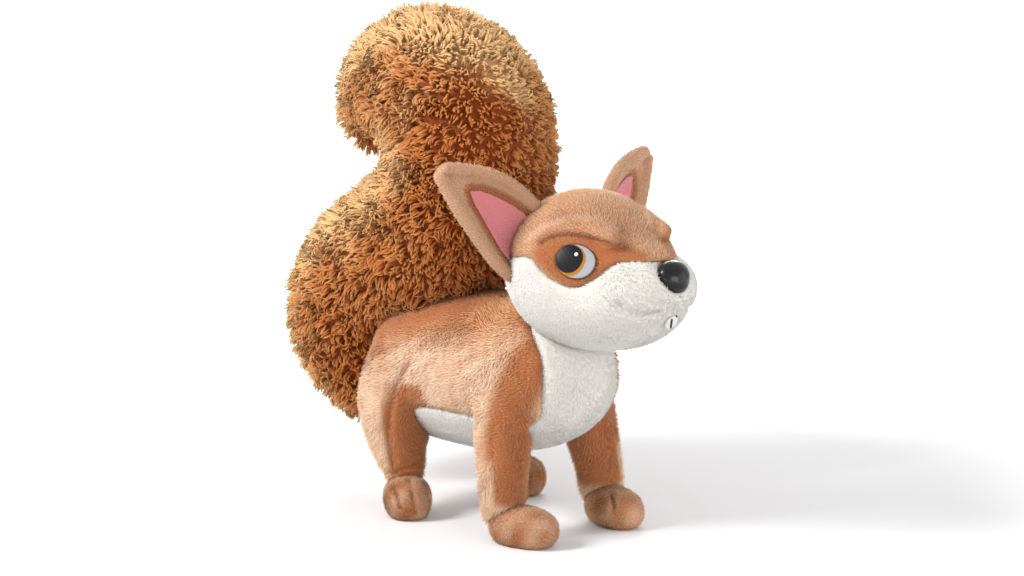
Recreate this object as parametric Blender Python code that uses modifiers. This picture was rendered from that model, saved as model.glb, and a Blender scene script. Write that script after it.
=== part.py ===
"""Plush squirrel standing on four legs, with a thick long-pile tail curled over its back.

Metres, +Z up. The squirrel faces -Y and its left side is +X. The origin lies on the ground, under
the middle of the toy's box. Each stuffed form is one closed solid: fabric and stuffing together.
"""
import math

import bmesh
import bpy
from mathutils import Matrix, Vector

# Clearance between two pieces that touch, and the reach of a cutter past what it cuts
GAP = 0.0003
CUT_REACH = 0.15

# Search for a skin along a ray, and the distance within which a mesh's points are one
RAY_REACH = 0.2
RAY_HALVINGS = 26
MERGE_DISTANCE = 1e-6

# Sign along X and name of each side
SIDES = ((1, "left"), (-1, "right"))

# Body: the belly's height over the ground and the size of the barrel
BELLY_HEIGHT = 0.0405
BODY_HEIGHT = 0.090
BODY_WIDTH = 0.086
BODY_LENGTH = 0.165
BODY_MIDDLE_Y = 0.008
BODY_BLEND = 0.008
CHEST_DEPTH = 0.064
RUMP_DEPTH = 0.080
NECK_WIDTH = 0.058
CHEST_HEIGHT_SHARE = 0.62

# White bib and belly: the flank's lower edge, and the bib's half width at the neck and the legs
FLANK_EDGE_HEIGHT = 0.0665
BIB_HALF_WIDTH = 0.026
BIB_WAIST_HALF_WIDTH = 0.024
BIB_WAVE = 0.003
BIB_BACK_Y = -0.054
BELLY_END_Y = 0.060
BELLY_CORNER = 0.018

# Head: the skull, then the cheeks and the snout ahead of it
HEAD_FORWARD = 0.073
HEAD_HEIGHT = 0.1545
SKULL_WIDTH = 0.092
SKULL_LENGTH = 0.088
SKULL_HEIGHT = 0.086
CHEEK_WIDTH = 0.070
CHEEK_LENGTH = 0.072
CHEEK_HEIGHT = 0.053
CHEEK_FORWARD = 0.0255
CHEEK_DROP = 0.0138
SNOUT_WIDTH = 0.055
SNOUT_LENGTH = 0.056
SNOUT_HEIGHT = 0.0385
SNOUT_FORWARD = 0.0445
SNOUT_DROP = 0.0053
HEAD_BLEND = 0.005

# Brow folds: padded ridges over the eyes
BROW_RADIUS = 0.0042

# Ears
EAR_LENGTH = 0.0575
EAR_HALF_WIDTH = 0.0180
EAR_THICKNESS = 0.0042
EAR_TURN = math.radians(5)
EAR_CUP = 0.0090
EAR_OUTWARD = 41.5
EAR_BACKWARD = 14.5
EAR_UPWARD = 38.2
EAR_TIP_HALF_WIDTH = 0.0026
LINING_THICKNESS = 0.0010
LINING_REACH = 0.66
LINING_WIDTH_SHARE = 0.66
LINING_TIP_SHARE = 0.03

# Eyes, nose and teeth; a place is a direction from the head's middle in shares of the skull's
# half size, and the stem and its washer are measured from the nose's middle
EYE_PLACE = (0.75, 0.63, 0.21)
EYE_HALF_WIDTH = 0.0118
EYE_HALF_HEIGHT = 0.0098
EYE_THICKNESS = 0.0010
NOSE_WIDTH = 0.0200
NOSE_HEIGHT = 0.0184
NOSE_DEPTH = 0.0140
NOSE_TOP_BROADER = 0.10
NOSE_TILT = math.radians(30)
NOSE_PROUD = -0.20
NOSE_SLOPE = 0.050
STEM_RADIUS = 0.0022
STEM_LENGTH = 0.0150
WASHER_RADIUS = 0.0065
WASHER_THICKNESS = 0.0014
WASHER_SETBACK = 0.0105
TEETH_PLACE = (0, 1.43, -0.49)
TEETH_HALF_WIDTH = 0.0037
TEETH_HALF_HEIGHT = 0.0043
TEETH_THICKNESS = 0.0012
PATCH_SINK = 0.0015

# Legs and paws
FRONT_SPREAD = 0.0377
REAR_SPREAD = 0.0390
FRONT_STANCE = 0.0459
REAR_STANCE = 0.0408
FRONT_LEAN = 0.0065
FRONT_ANKLE_RADIUS = 0.0120
FRONT_SHOULDER_RADIUS = 0.0180
REAR_ANKLE_RADIUS = 0.0105
THIGH_RADIUS = 0.0250
THIGH_SETBACK = 0.0150
PAW_WIDTH = 0.028
PAW_SQUARENESS = 0.10
FRONT_PAW_LENGTH = 0.044
REAR_PAW_LENGTH = 0.036
FRONT_PAW_HEIGHT = 0.0220
REAR_PAW_HEIGHT = 0.0245
FRONT_PAW_LEAD = 0.0135
REAR_PAW_LEAD = 0.0075
FRONT_TOE_IN = math.radians(12)
REAR_TOE_IN = math.radians(-30)
SOLE_SINK = 0.0030
TOE_GROOVE_WIDTH = 0.0016
TOE_GROOVE_DEPTH = 0.0030
TOE_PITCH = 0.0085

# Tail: the radius of its stuffed form, and how far its middle line leans forward and rises
TAIL_RADIUS = 0.0460
TAIL_SWING = 0.068
TAIL_RISE = 0.167
TAIL_VOXEL = 0.0120

BROWN = (0.51, 0.20, 0.075, 1.0)
TAIL_BROWN = (0.55, 0.21, 0.055, 1.0)
WHITE = (0.83, 0.81, 0.77, 1.0)
PINK = (0.75, 0.36, 0.36, 1.0)
BLACK = (0.015, 0.013, 0.015, 1.0)

BODY_MIDDLE_Z = BELLY_HEIGHT + BODY_HEIGHT / 2
HEAD_CENTRE = Vector((0, -HEAD_FORWARD, HEAD_HEIGHT))
BODY_CENTRE = Vector((0, BODY_MIDDLE_Y, BODY_MIDDLE_Z))


def skull_lumps():
    """Centre and half sizes of the ellipsoids that blend into the head."""
    cheek = HEAD_CENTRE + Vector((0, -CHEEK_FORWARD, -CHEEK_DROP))
    snout = HEAD_CENTRE + Vector((0, -SNOUT_FORWARD, -SNOUT_DROP))
    return [
        (HEAD_CENTRE, Vector((SKULL_WIDTH, SKULL_LENGTH, SKULL_HEIGHT)) / 2),
        (cheek, Vector((CHEEK_WIDTH, CHEEK_LENGTH, CHEEK_HEIGHT)) / 2),
        (snout, Vector((SNOUT_WIDTH, SNOUT_LENGTH, SNOUT_HEIGHT)) / 2),
    ]


def body_lumps():
    """Centre and half sizes of the ellipsoids that blend into the body."""
    half = Vector((BODY_WIDTH, BODY_LENGTH, BODY_HEIGHT)) / 2
    chest = BODY_CENTRE + Vector((0, CHEST_DEPTH / 2 - half.y, 0))
    rump = BODY_CENTRE + Vector((0, half.y - RUMP_DEPTH / 2, 0))
    neck = chest.lerp(HEAD_CENTRE, 0.36) + Vector((0, NECK_WIDTH * 0.12, 0))
    return [
        (BODY_CENTRE, Vector((half.x * 0.93, half.y * 0.90, half.z))),
        (chest, Vector((half.x * 0.86, CHEST_DEPTH / 2, half.z * CHEST_HEIGHT_SHARE))),
        (rump, Vector((half.x * 0.98, RUMP_DEPTH / 2, half.z * 0.90))),
        (neck, Vector((NECK_WIDTH, NECK_WIDTH * 0.93, NECK_WIDTH * 0.90)) / 2),
    ]


def lump_distance(point, lumps, blend):
    """Distance from a point to the smoothly blended ellipsoids, negative inside."""
    total = 0.0
    for centre, half in lumps:
        q = point - centre
        near = Vector((q.x / half.x, q.y / half.y, q.z / half.z)).length
        slope = Vector((q.x / half.x**2, q.y / half.y**2, q.z / half.z**2)).length
        distance = near * (near - 1) / slope if slope > 1e-6 else -min(half)
        total += math.exp(-distance / blend)
    return -blend * math.log(total)


def on_surface(origin, direction, lumps, blend, offset):
    """The point where a ray from inside the blended form is offset outside its skin."""
    low, high = 0.0, RAY_REACH
    unit = direction.normalized()
    for _ in range(RAY_HALVINGS):
        middle = (low + high) / 2
        if lump_distance(origin + unit * middle, lumps, blend) < offset:
            low = middle
        else:
            high = middle
    return origin + unit * low


def on_head(direction, offset=0.0):
    return on_surface(HEAD_CENTRE, direction, skull_lumps(), HEAD_BLEND, offset)


def head_direction(across, ahead, above):
    """Direction from the head's middle, each part as a share of the skull's half size."""
    return Vector((across * SKULL_WIDTH, -ahead * SKULL_LENGTH, above * SKULL_HEIGHT)) / 2


def make_collection(name):
    collection = bpy.data.collections.new(name)
    bpy.context.scene.collection.children.link(collection)
    return collection


def new_object(name, mesh, collection):
    obj = bpy.data.objects.new(name, mesh)
    collection.objects.link(obj)
    return obj


def mesh_from(name, bm):
    bmesh.ops.recalc_face_normals(bm, faces=bm.faces)
    mesh = bpy.data.meshes.new(name)
    bm.to_mesh(mesh)
    bm.free()
    mesh.shade_smooth()
    return mesh


def sheet_mesh(name, bm, outward):
    """Mesh of an open sheet whose faces look along outward."""
    bm.normal_update()
    if sum(face.normal.dot(outward) for face in bm.faces) < 0:
        bmesh.ops.reverse_faces(bm, faces=bm.faces)
    mesh = bpy.data.meshes.new(name)
    bm.to_mesh(mesh)
    bm.free()
    mesh.shade_smooth()
    return mesh


def blended_form(name, collection, centre, lumps, blend, offset, segments, rings):
    """A sphere with its poles along Y, pushed out to the skin of the blended lumps."""
    bm = bmesh.new()
    bmesh.ops.create_uvsphere(bm, u_segments=segments, v_segments=rings, radius=1)
    bmesh.ops.rotate(bm, verts=bm.verts, matrix=Matrix.Rotation(math.radians(90), 3, "X"))
    for vert in bm.verts:
        vert.co = on_surface(centre, vert.co, lumps, blend, offset)
    return new_object(name, mesh_from(name, bm), collection)


def head_form(name, collection, offset=0.0):
    return blended_form(name, collection, HEAD_CENTRE, skull_lumps(), HEAD_BLEND, offset, 32, 22)


def body_form(name, collection, offset=0.0):
    return blended_form(name, collection, BODY_CENTRE, body_lumps(), BODY_BLEND, offset, 28, 22)


def smooth_through(points, steps):
    """Points along a smooth curve through the given ones."""
    last = len(points) - 1
    result = []
    for i in range(last):
        before = points[max(i - 1, 0)]
        start, end = points[i], points[i + 1]
        after = points[min(i + 2, last)]
        for step in range(steps):
            t = step / steps
            result.append(0.5 * (2 * start + (end - before) * t
                                 + (2 * before - 5 * start + 4 * end - after) * t**2
                                 + (3 * start - before - 3 * end + after) * t**3))
    result.append(points[last])
    return result


def curve_geometry(name, curve):
    """The curve's filled surface as a bmesh with its loose points joined."""
    holder = bpy.data.objects.new(name, curve)
    bpy.context.scene.collection.objects.link(holder)
    bpy.context.view_layer.update()
    evaluated = holder.evaluated_get(bpy.context.evaluated_depsgraph_get())
    bm = bmesh.new()
    bm.from_mesh(bpy.data.meshes.new_from_object(evaluated))
    bmesh.ops.remove_doubles(bm, verts=bm.verts, dist=MERGE_DISTANCE)
    bpy.data.objects.remove(holder)
    return bm


def tube(name, collection, path, sides_level=4):
    """A tube with round ends along path, a list of 4-D points (x, y, z, radius)."""
    curve = bpy.data.curves.new(name, "CURVE")
    curve.dimensions = "3D"
    curve.bevel_depth = 1
    curve.bevel_resolution = sides_level
    curve.use_fill_caps = True
    spline = curve.splines.new("POLY")
    spline.points.add(len(path) - 1)
    for point, place in zip(spline.points, path):
        point.co = (place[0], place[1], place[2], 1)
        point.radius = place[3]
    return new_object(name, mesh_from(name, curve_geometry(name, curve)), collection)


def round_ended(points, steps=3):
    """Adds shrinking rings past both ends of a path, so that the tube ends in domes."""
    path = smooth_through([Vector(p) for p in points], steps)
    ends = []
    for end, inner in ((path[0], path[1]), (path[-1], path[-2])):
        away = (end.to_3d() - inner.to_3d()).normalized()
        rings = []
        for angle in (30, 55, 75, 88):
            reach = end[3] * math.sin(math.radians(angle))
            place = end.to_3d() + away * reach
            rings.append(Vector((*place, end[3] * math.cos(math.radians(angle)))))
        ends.append(rings)
    return ends[0][::-1] + path + ends[1]


def prism(name, collection, outline, half_depth, axes):
    """A closed outline of 2-D points, extruded both ways across the plane that axes turns it to."""
    curve = bpy.data.curves.new(name, "CURVE")
    curve.dimensions = "2D"
    curve.fill_mode = "BOTH"
    curve.extrude = half_depth
    spline = curve.splines.new("POLY")
    spline.points.add(len(outline) - 1)
    for point, place in zip(spline.points, outline):
        point.co = (place[0], place[1], 0, 1)
    spline.use_cyclic_u = True
    bm = curve_geometry(name, curve)
    bmesh.ops.transform(bm, matrix=axes, verts=bm.verts)
    return new_object(name, mesh_from(name, bm), collection)


# Turn an outline's (first, second) numbers into world (y, z), or into world (x, z)
SIDE_VIEW = Matrix(((0, 0, 1, 0), (1, 0, 0, 0), (0, 1, 0, 0), (0, 0, 0, 1)))
FRONT_VIEW = Matrix(((1, 0, 0, 0), (0, 0, -1, 0), (0, 1, 0, 0), (0, 0, 0, 1)))


def boolean(obj, cutter, operation="DIFFERENCE"):
    modifier = obj.modifiers.new(cutter.name, "BOOLEAN")
    modifier.operation = operation
    modifier.solver = "EXACT"
    modifier.object = cutter


def shifted(line, distance):
    """The 2-D line moved sideways by distance, to the left of its direction."""
    moved = []
    for i, point in enumerate(line):
        along = (line[min(i + 1, len(line) - 1)] - line[max(i - 1, 0)]).normalized()
        moved.append(point + Vector((-along.y, along.x)) * distance)
    return moved


def face_outline(distance=0.0):
    """Side view of the white face's upper edge, from behind the cheek to under the nose."""
    # Shares of the skull's half length ahead of its middle and of its half height above it
    shares = [
        (-0.91, -1.40), (-0.91, -0.63), (-0.82, -0.33), (-0.68, -0.07), (-0.48, 0.14),
        (-0.20, 0.20), (0.05, 0.20), (0.20, 0.09), (0.36, -0.02), (0.55, -0.10),
        (0.70, -0.10), (0.84, -0.02), (0.93, 0.09), (1.05, 0.20), (1.20, 0.23),
        (1.36, 0.21), (1.52, 0.15), (1.93, 0.09),
    ]
    spots = [HEAD_CENTRE + head_direction(0, ahead, above) for ahead, above in shares]
    line = smooth_through([Vector((spot.y, spot.z)) for spot in spots], 3)
    # The line runs towards -Y, so its left side is downwards
    line = shifted(line, -distance)
    floor = HEAD_CENTRE.z - CUT_REACH
    return line + [Vector((line[-1].x, floor)), Vector((line[0].x, floor))]


def belly_outline(distance=0.0):
    """Side view of the white belly: under the flank's edge, and down again before the rump."""
    edge, end, corner = FLANK_EDGE_HEIGHT, BELLY_END_Y, BELLY_CORNER
    points = [
        (-CUT_REACH, edge), (0, edge), (end - corner * 2.2, edge), (end - corner, edge - corner / 6),
        (end - corner / 4, edge - corner * 2 / 3), (end, edge - corner * 5 / 3), (end, 0),
    ]
    line = shifted(smooth_through([Vector(p) for p in points], 3), distance)
    return line + [Vector((line[0].x, 0))]


def bib_outline(distance=0.0):
    """Front view of the white bib, widest at the neck and waved where the legs begin."""
    waist = BIB_WAIST_HALF_WIDTH
    # Half width, then the height over the belly as a share of the body's height
    half = [
        (waist, -0.09), (waist, 0.15), (waist + BIB_WAVE, 0.26), (waist + BIB_WAVE / 3, 0.35),
        (waist + BIB_WAVE, 0.46), (BIB_HALF_WIDTH, 0.64), (BIB_HALF_WIDTH, 1.13),
    ]
    spots = [Vector((wide, BELLY_HEIGHT + BODY_HEIGHT * above)) for wide, above in half]
    line = shifted(smooth_through(spots, 3), -distance)
    mirrored = [Vector((-p.x, p.y)) for p in reversed(line)]
    return line + mirrored


def ridge_path(side, extra=0.0):
    """The brow fold over one eye: a curve on the head from the temple to the nose bridge."""
    # Across, ahead and above as shares of the skull, then shares of the full radius: this spot's
    # radius, and its middle's height over the skin
    spots = [
        (0.95, -0.02, 0.28, 0.50, -0.45), (0.88, 0.11, 0.43, 0.85, -0.55),
        (0.76, 0.30, 0.55, 1.00, -0.55), (0.61, 0.50, 0.59, 1.00, -0.40),
        (0.50, 0.70, 0.56, 1.08, 0.15), (0.446, 0.90, 0.49, 1.12, 0.80),
    ]
    path = []
    for across, ahead, above, share, rise in spots:
        place = on_head(head_direction(side * across, ahead, above), BROW_RADIUS * rise)
        path.append((*place, BROW_RADIUS * share + extra))
    return path


def make_head(parts, cutters):
    crown = head_form("head_crown", parts)
    face = head_form("face_panel", parts)
    boolean(face, prism("face_side_view", cutters, face_outline(), CUT_REACH, SIDE_VIEW), "INTERSECT")
    wide = prism("face_side_view_wide", cutters, face_outline(GAP), CUT_REACH, SIDE_VIEW)
    boolean(crown, wide)
    for side, name in SIDES:
        ridge = tube("brow_fold_" + name, cutters, round_ended(ridge_path(side)), 2)
        boolean(crown, ridge, "UNION")
    return crown, face


def make_body(parts, cutters):
    back = body_form("back_panel", parts)
    belly = body_form("belly_panel", parts)
    regions = []
    for label, distance in (("", 0.0), ("_wide", GAP)):
        region = prism("belly_side_view" + label, cutters, belly_outline(distance), CUT_REACH, SIDE_VIEW)
        bib = prism("bib_front_view" + label, cutters, bib_outline(distance), CUT_REACH / 2, FRONT_VIEW)
        bib.location.y = BIB_BACK_Y - CUT_REACH / 2 + distance
        boolean(region, bib, "UNION")
        regions.append(region)
    boolean(belly, regions[0], "INTERSECT")
    boolean(back, regions[1])
    return back, belly


def ear_frame(side):
    """The base's middle, the direction to the tip, across the ear, and out of its open side."""
    base = on_head(head_direction(side * 0.80, -0.44, 0.43), -GAP)
    along = Vector((side * EAR_OUTWARD, EAR_BACKWARD, EAR_UPWARD)).normalized()
    outlook = Vector((side * math.sin(EAR_TURN), -math.cos(EAR_TURN), -0.10))
    across = along.cross(outlook).normalized() * -side
    facing = across.cross(along).normalized() * -side
    return base, along, across, facing


def ear_point(frame, u, v, lift):
    """A point of the ear: u runs from base to tip, v across it, lift along its open side."""
    base, along, across, facing = frame
    width = EAR_HALF_WIDTH * (1 - 0.06 * u - 0.94 * max(u, 0) ** 2.4) + EAR_TIP_HALF_WIDTH
    cup = EAR_CUP * (1 - 0.45 * max(u, 0))
    bow = EAR_LENGTH * 0.05 * math.sin(math.pi * min(max(u, 0), 1))
    middle = base + along * EAR_LENGTH * u + across * bow
    edge_forward = cup * (v * v - 0.5)
    slope = 2 * cup * v / width
    normal = (facing - across * slope).normalized()
    return middle + across * width * v + facing * edge_forward + normal * lift


def ear_sheet(name, collection, side, span, half_span, lift, thickness):
    """A sheet on the ear from span[0] to span[1], half_span(u) wide to each side, then thickened."""
    frame = ear_frame(side)
    bm = bmesh.new()
    bmesh.ops.create_grid(bm, x_segments=8, y_segments=10, size=1)
    for vert in bm.verts:
        u = span[0] + (span[1] - span[0]) * (vert.co.y + 1) / 2
        vert.co = ear_point(frame, u, vert.co.x * half_span(u), lift)
    obj = new_object(name, sheet_mesh(name, bm, frame[3]), collection)
    solidify = obj.modifiers.new("thickness", "SOLIDIFY")
    solidify.thickness = thickness
    solidify.offset = 0
    return obj


def whole_width(_):
    return 1.0


def lining_width(u):
    """The lining narrows from most of the ear's width to a rounded point."""
    taper = math.sqrt(max(1 - max(u, 0) / LINING_REACH, 0))
    return LINING_WIDTH_SHARE * taper + LINING_TIP_SHARE


def make_ear(parts, cutters, side, name):
    span = (-0.30, 1.0)
    ear = ear_sheet("ear_" + name, parts, side, span, whole_width, 0, EAR_THICKNESS)
    rim = ear.modifiers.new("rounded_rim", "BEVEL")
    rim.width = EAR_THICKNESS * 0.38
    rim.segments = 1
    rim.limit_method = "ANGLE"
    rim.angle_limit = math.radians(55)
    room = ear_sheet("ear_room_" + name, cutters, side, span, whole_width, 0, EAR_THICKNESS + 2 * GAP)
    sunk = LINING_THICKNESS + PATCH_SINK
    lift = EAR_THICKNESS / 2 + GAP + LINING_THICKNESS - sunk / 2
    lining = ear_sheet("ear_lining_" + name, parts, side, (-0.25, LINING_REACH), lining_width, lift, sunk)
    boolean(lining, room)
    return ear, lining


def surface_patch(name, collection, centre_direction, half_width, half_height, thickness, room):
    """A thin oval patch around a direction; its back is cut to the head's skin by room."""
    centre = on_head(centre_direction)
    out = centre_direction.normalized()
    right = Vector((0, 0, 1)).cross(out).normalized()
    up = out.cross(right)
    bm = bmesh.new()
    bmesh.ops.create_grid(bm, x_segments=8, y_segments=8, size=1)
    for vert in bm.verts:
        a, b = vert.co.x, vert.co.y
        disc_a = a * math.sqrt(1 - b * b / 2)
        disc_b = b * math.sqrt(1 - a * a / 2)
        spot = centre + right * half_width * disc_a + up * half_height * disc_b
        vert.co = on_head(spot - HEAD_CENTRE, -PATCH_SINK)
    obj = new_object(name, sheet_mesh(name, bm, out), collection)
    solidify = obj.modifiers.new("thickness", "SOLIDIFY")
    solidify.thickness = PATCH_SINK + GAP + thickness
    solidify.offset = 1
    boolean(obj, room)
    return obj


def cylinder(name, collection, radius, low, high, placing, segments=20):
    bm = bmesh.new()
    depth = high - low
    bmesh.ops.create_cone(bm, cap_ends=True, segments=segments, radius1=radius, radius2=radius,
                          depth=depth)
    bmesh.ops.translate(bm, verts=bm.verts, vec=(0, 0, (low + high) / 2))
    bmesh.ops.transform(bm, matrix=placing, verts=bm.verts)
    return new_object(name, mesh_from(name, bm), collection)


def nose_dome(name, collection, placing, extra):
    """The nose's rounded body: an egg sunk halfway into the snout."""
    bm = bmesh.new()
    bmesh.ops.create_uvsphere(bm, u_segments=20, v_segments=12, radius=1)
    for vert in bm.verts:
        broad = 1 + NOSE_TOP_BROADER * vert.co.y
        vert.co.x *= (NOSE_WIDTH / 2) * broad + extra
        vert.co.y *= NOSE_HEIGHT / 2 + extra
        vert.co.z *= NOSE_DEPTH / 2 + extra
    bmesh.ops.transform(bm, matrix=placing, verts=bm.verts)
    return new_object(name, mesh_from(name, bm), collection)


def make_nose(parts, cutters, panels):
    # The nose's own +Z points out of the snout, tilted upwards
    outward = Vector((0, -math.cos(NOSE_TILT), math.sin(NOSE_TILT)))
    seat = on_head(Vector((0, -1, NOSE_SLOPE)))
    up = Vector((0, math.sin(NOSE_TILT), math.cos(NOSE_TILT)))
    turn = Matrix((up.cross(outward), up, outward)).transposed().to_4x4()
    placing = Matrix.Translation(seat + outward * NOSE_DEPTH * NOSE_PROUD) @ turn
    nose = nose_dome("nose", parts, placing, 0)
    boolean(nose, cylinder("nose_stem", cutters, STEM_RADIUS, -STEM_LENGTH, 0, placing), "UNION")
    washer_low = -WASHER_SETBACK - WASHER_THICKNESS
    washer = cylinder("nose_washer", parts, WASHER_RADIUS, washer_low, -WASHER_SETBACK, placing)
    stem_hole = cylinder("stem_hole", cutters, STEM_RADIUS + GAP, -STEM_LENGTH - GAP, 0, placing)
    boolean(washer, stem_hole)
    pocket = nose_dome("nose_pocket", cutters, placing, GAP)
    boolean(pocket, stem_hole, "UNION")
    room = cylinder("washer_pocket", cutters, WASHER_RADIUS + GAP, washer_low - GAP,
                    GAP - WASHER_SETBACK, placing)
    boolean(pocket, room, "UNION")
    for panel in panels:
        boolean(panel, pocket)
    return nose, washer


def front_leg_path(side, extra=0.0):
    """Middle line and radius of a front leg, from inside the paw up into the chest."""
    x, y = side * FRONT_SPREAD, -FRONT_STANCE
    ankle, shoulder = FRONT_ANKLE_RADIUS + extra, FRONT_SHOULDER_RADIUS + extra
    return [
        (x, y, FRONT_PAW_HEIGHT * 0.72, ankle),
        (x * 0.98, y + FRONT_LEAN * 0.35, FRONT_PAW_HEIGHT * 1.50, ankle * 1.06),
        (x * 0.87, y + FRONT_LEAN, BODY_MIDDLE_Z * 0.67, ankle * 0.45 + shoulder * 0.55),
        (x * 0.71, y + FRONT_LEAN * 1.3, BODY_MIDDLE_Z * 0.90, shoulder * 0.95),
        (x * 0.41, y + FRONT_LEAN * 1.5, BODY_MIDDLE_Z * 1.10, shoulder * 0.9),
    ]


def rear_leg_path(side, extra=0.0):
    """Middle line and radius of a rear leg, from inside the paw up through the thigh."""
    x, y = side * REAR_SPREAD, REAR_STANCE
    ankle, thigh = REAR_ANKLE_RADIUS + extra, THIGH_RADIUS + extra
    return [
        (x, y, REAR_PAW_HEIGHT * 0.66, ankle),
        (x, y + THIGH_SETBACK * 0.1, REAR_PAW_HEIGHT * 1.08, ankle * 1.1),
        (x * 0.95, y + THIGH_SETBACK * 0.6, BODY_MIDDLE_Z * 0.48, ankle * 0.6 + thigh * 0.4),
        (x * 0.80, y + THIGH_SETBACK, BODY_MIDDLE_Z * 0.72, thigh * 0.95),
        (x * 0.62, y + THIGH_SETBACK, BODY_MIDDLE_Z * 0.98, thigh * 0.95),
        (x * 0.34, y + THIGH_SETBACK, BODY_MIDDLE_Z * 1.14, thigh * 0.75),
    ]


def paw_size(front):
    """The paw's half length and its height."""
    if front:
        return FRONT_PAW_LENGTH / 2, FRONT_PAW_HEIGHT
    return REAR_PAW_LENGTH / 2, REAR_PAW_HEIGHT


def paw_placing(side, front):
    """The paw's middle, ahead of its ankle along the way that its toes point."""
    if front:
        ankle, lead, toe_in = (side * FRONT_SPREAD, -FRONT_STANCE, 0), FRONT_PAW_LEAD, FRONT_TOE_IN
    else:
        ankle, lead, toe_in = (side * REAR_SPREAD, REAR_STANCE, 0), REAR_PAW_LEAD, REAR_TOE_IN
    turn = Matrix.Rotation(-side * toe_in, 4, "Z")
    return Matrix.Translation(ankle) @ turn @ Matrix.Translation((0, -lead, 0))


def paw_form(name, collection, side, front, extra):
    """A rounded paw, longest to the front, with its bottom below the ground before it is cut."""
    length, height = paw_size(front)
    length += extra
    height = (height + SOLE_SINK) / 2 + extra
    bm = bmesh.new()
    bmesh.ops.create_uvsphere(bm, u_segments=18, v_segments=10, radius=1)
    for vert in bm.verts:
        box = max(abs(vert.co.x), abs(vert.co.y), abs(vert.co.z))
        vert.co *= 1 + PAW_SQUARENESS * (1 - box) / (1 - math.sqrt(1 / 3))
        vert.co.x *= PAW_WIDTH / 2 + extra
        vert.co.y *= length
        vert.co.z = vert.co.z * height + height - SOLE_SINK - extra
    bmesh.ops.transform(bm, matrix=paw_placing(side, front), verts=bm.verts)
    return new_object(name, mesh_from(name, bm), collection)


def toe_groove(name, collection, side, front, offset):
    """A thin disc that cuts one stitched line between two toes."""
    length, height = paw_size(front)
    radius = height * 0.42
    edge = math.sqrt(max(1 - (offset / (PAW_WIDTH / 2)) ** 2, 0.1))
    centre = Matrix.Translation((offset, -length * edge - radius + TOE_GROOVE_DEPTH, height * 0.62))
    flat = Matrix.Rotation(math.radians(90), 4, "Y")
    half = TOE_GROOVE_WIDTH / 2
    return cylinder(name, collection, radius, -half, half, paw_placing(side, front) @ centre @ flat, 14)


def make_limbs(parts, cutters, body_cutter):
    limbs = []
    ground = cylinder("ground", cutters, CUT_REACH * 2, -CUT_REACH, 0, Matrix.Identity(4), 8)
    for side, name in SIDES:
        for front, end, path in ((True, "front", front_leg_path), (False, "rear", rear_leg_path)):
            leg = tube(f"{end}_leg_{name}", parts, round_ended(path(side), 2), 4)
            paw = paw_form(f"{end}_paw_{name}", parts, side, front, 0)
            boolean(leg, paw_form(f"{end}_paw_room_{name}", cutters, side, front, GAP))
            boolean(leg, body_cutter)
            boolean(paw, ground)
            offsets = (0.0,) if front else (-TOE_PITCH, 0.0, TOE_PITCH)
            for number, offset in enumerate(offsets):
                groove = toe_groove(f"{end}_toe_line_{name}_{number}", cutters, side, front, offset)
                boolean(paw, groove)
            limbs += [leg, paw]
    return limbs


def tail_path():
    """The tail's middle line in the side view, with its radius as a share of the full one."""
    rump_y = BODY_MIDDLE_Y + BODY_LENGTH / 2
    # Behind the rump as a share of the swing, up as a share of the rise, share of the radius
    spots = [
        (0.28, -0.13, 0.60), (0.41, -0.05, 0.82), (0.54, 0.13, 0.98), (0.22, 0.29, 1.02),
        (-0.39, 0.405, 1.04), (-0.86, 0.555, 1.02), (-1.00, 0.72, 1.00), (-0.98, 0.875, 0.98),
        (-0.71, 0.975, 0.92), (-0.28, 1.00, 0.84), (0.14, 0.94, 0.66), (0.38, 0.84, 0.44),
        (0.41, 0.76, 0.27),
    ]
    return [(0, rump_y + TAIL_SWING * back, BODY_MIDDLE_Z + TAIL_RISE * up, TAIL_RADIUS * share)
            for back, up, share in spots]


def make_tail(parts, blockers):
    tail = tube("tail", parts, round_ended(tail_path()), 6)
    remesh = tail.modifiers.new("even_skin", "REMESH")
    remesh.mode = "VOXEL"
    remesh.voxel_size = TAIL_VOXEL
    smooth = tail.modifiers.new("soft_skin", "SMOOTH")
    smooth.factor = 0.5
    smooth.iterations = 4
    for blocker in blockers:
        boolean(tail, blocker)
    return tail


def fabric(name, colour, roughness):
    material = bpy.data.materials.new(name)
    material.use_nodes = True
    shader = material.node_tree.nodes["Principled BSDF"]
    shader.inputs["Base Color"].default_value = colour
    shader.inputs["Roughness"].default_value = roughness
    shader.inputs["Metallic"].default_value = 0.0
    material.diffuse_color = colour
    return material


def finish(obj, colour, roughness=0.9):
    obj.data.materials.clear()
    obj.data.materials.append(fabric(obj.name + "_finish", colour, roughness))


def centre_on_ground(parts, cutters):
    """Parents every piece to one empty and moves it so that the box's middle is over the origin."""
    bpy.context.view_layer.update()
    graph = bpy.context.evaluated_depsgraph_get()
    corners = []
    for obj in parts.objects:
        evaluated = obj.evaluated_get(graph)
        corners += [evaluated.matrix_world @ Vector(corner) for corner in evaluated.bound_box]
    middle_y = (min(c.y for c in corners) + max(c.y for c in corners)) / 2
    root = bpy.data.objects.new("toy", None)
    bpy.context.scene.collection.objects.link(root)
    for obj in list(parts.objects) + list(cutters.objects):
        obj.parent = root
    root.location.y = -middle_y


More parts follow.
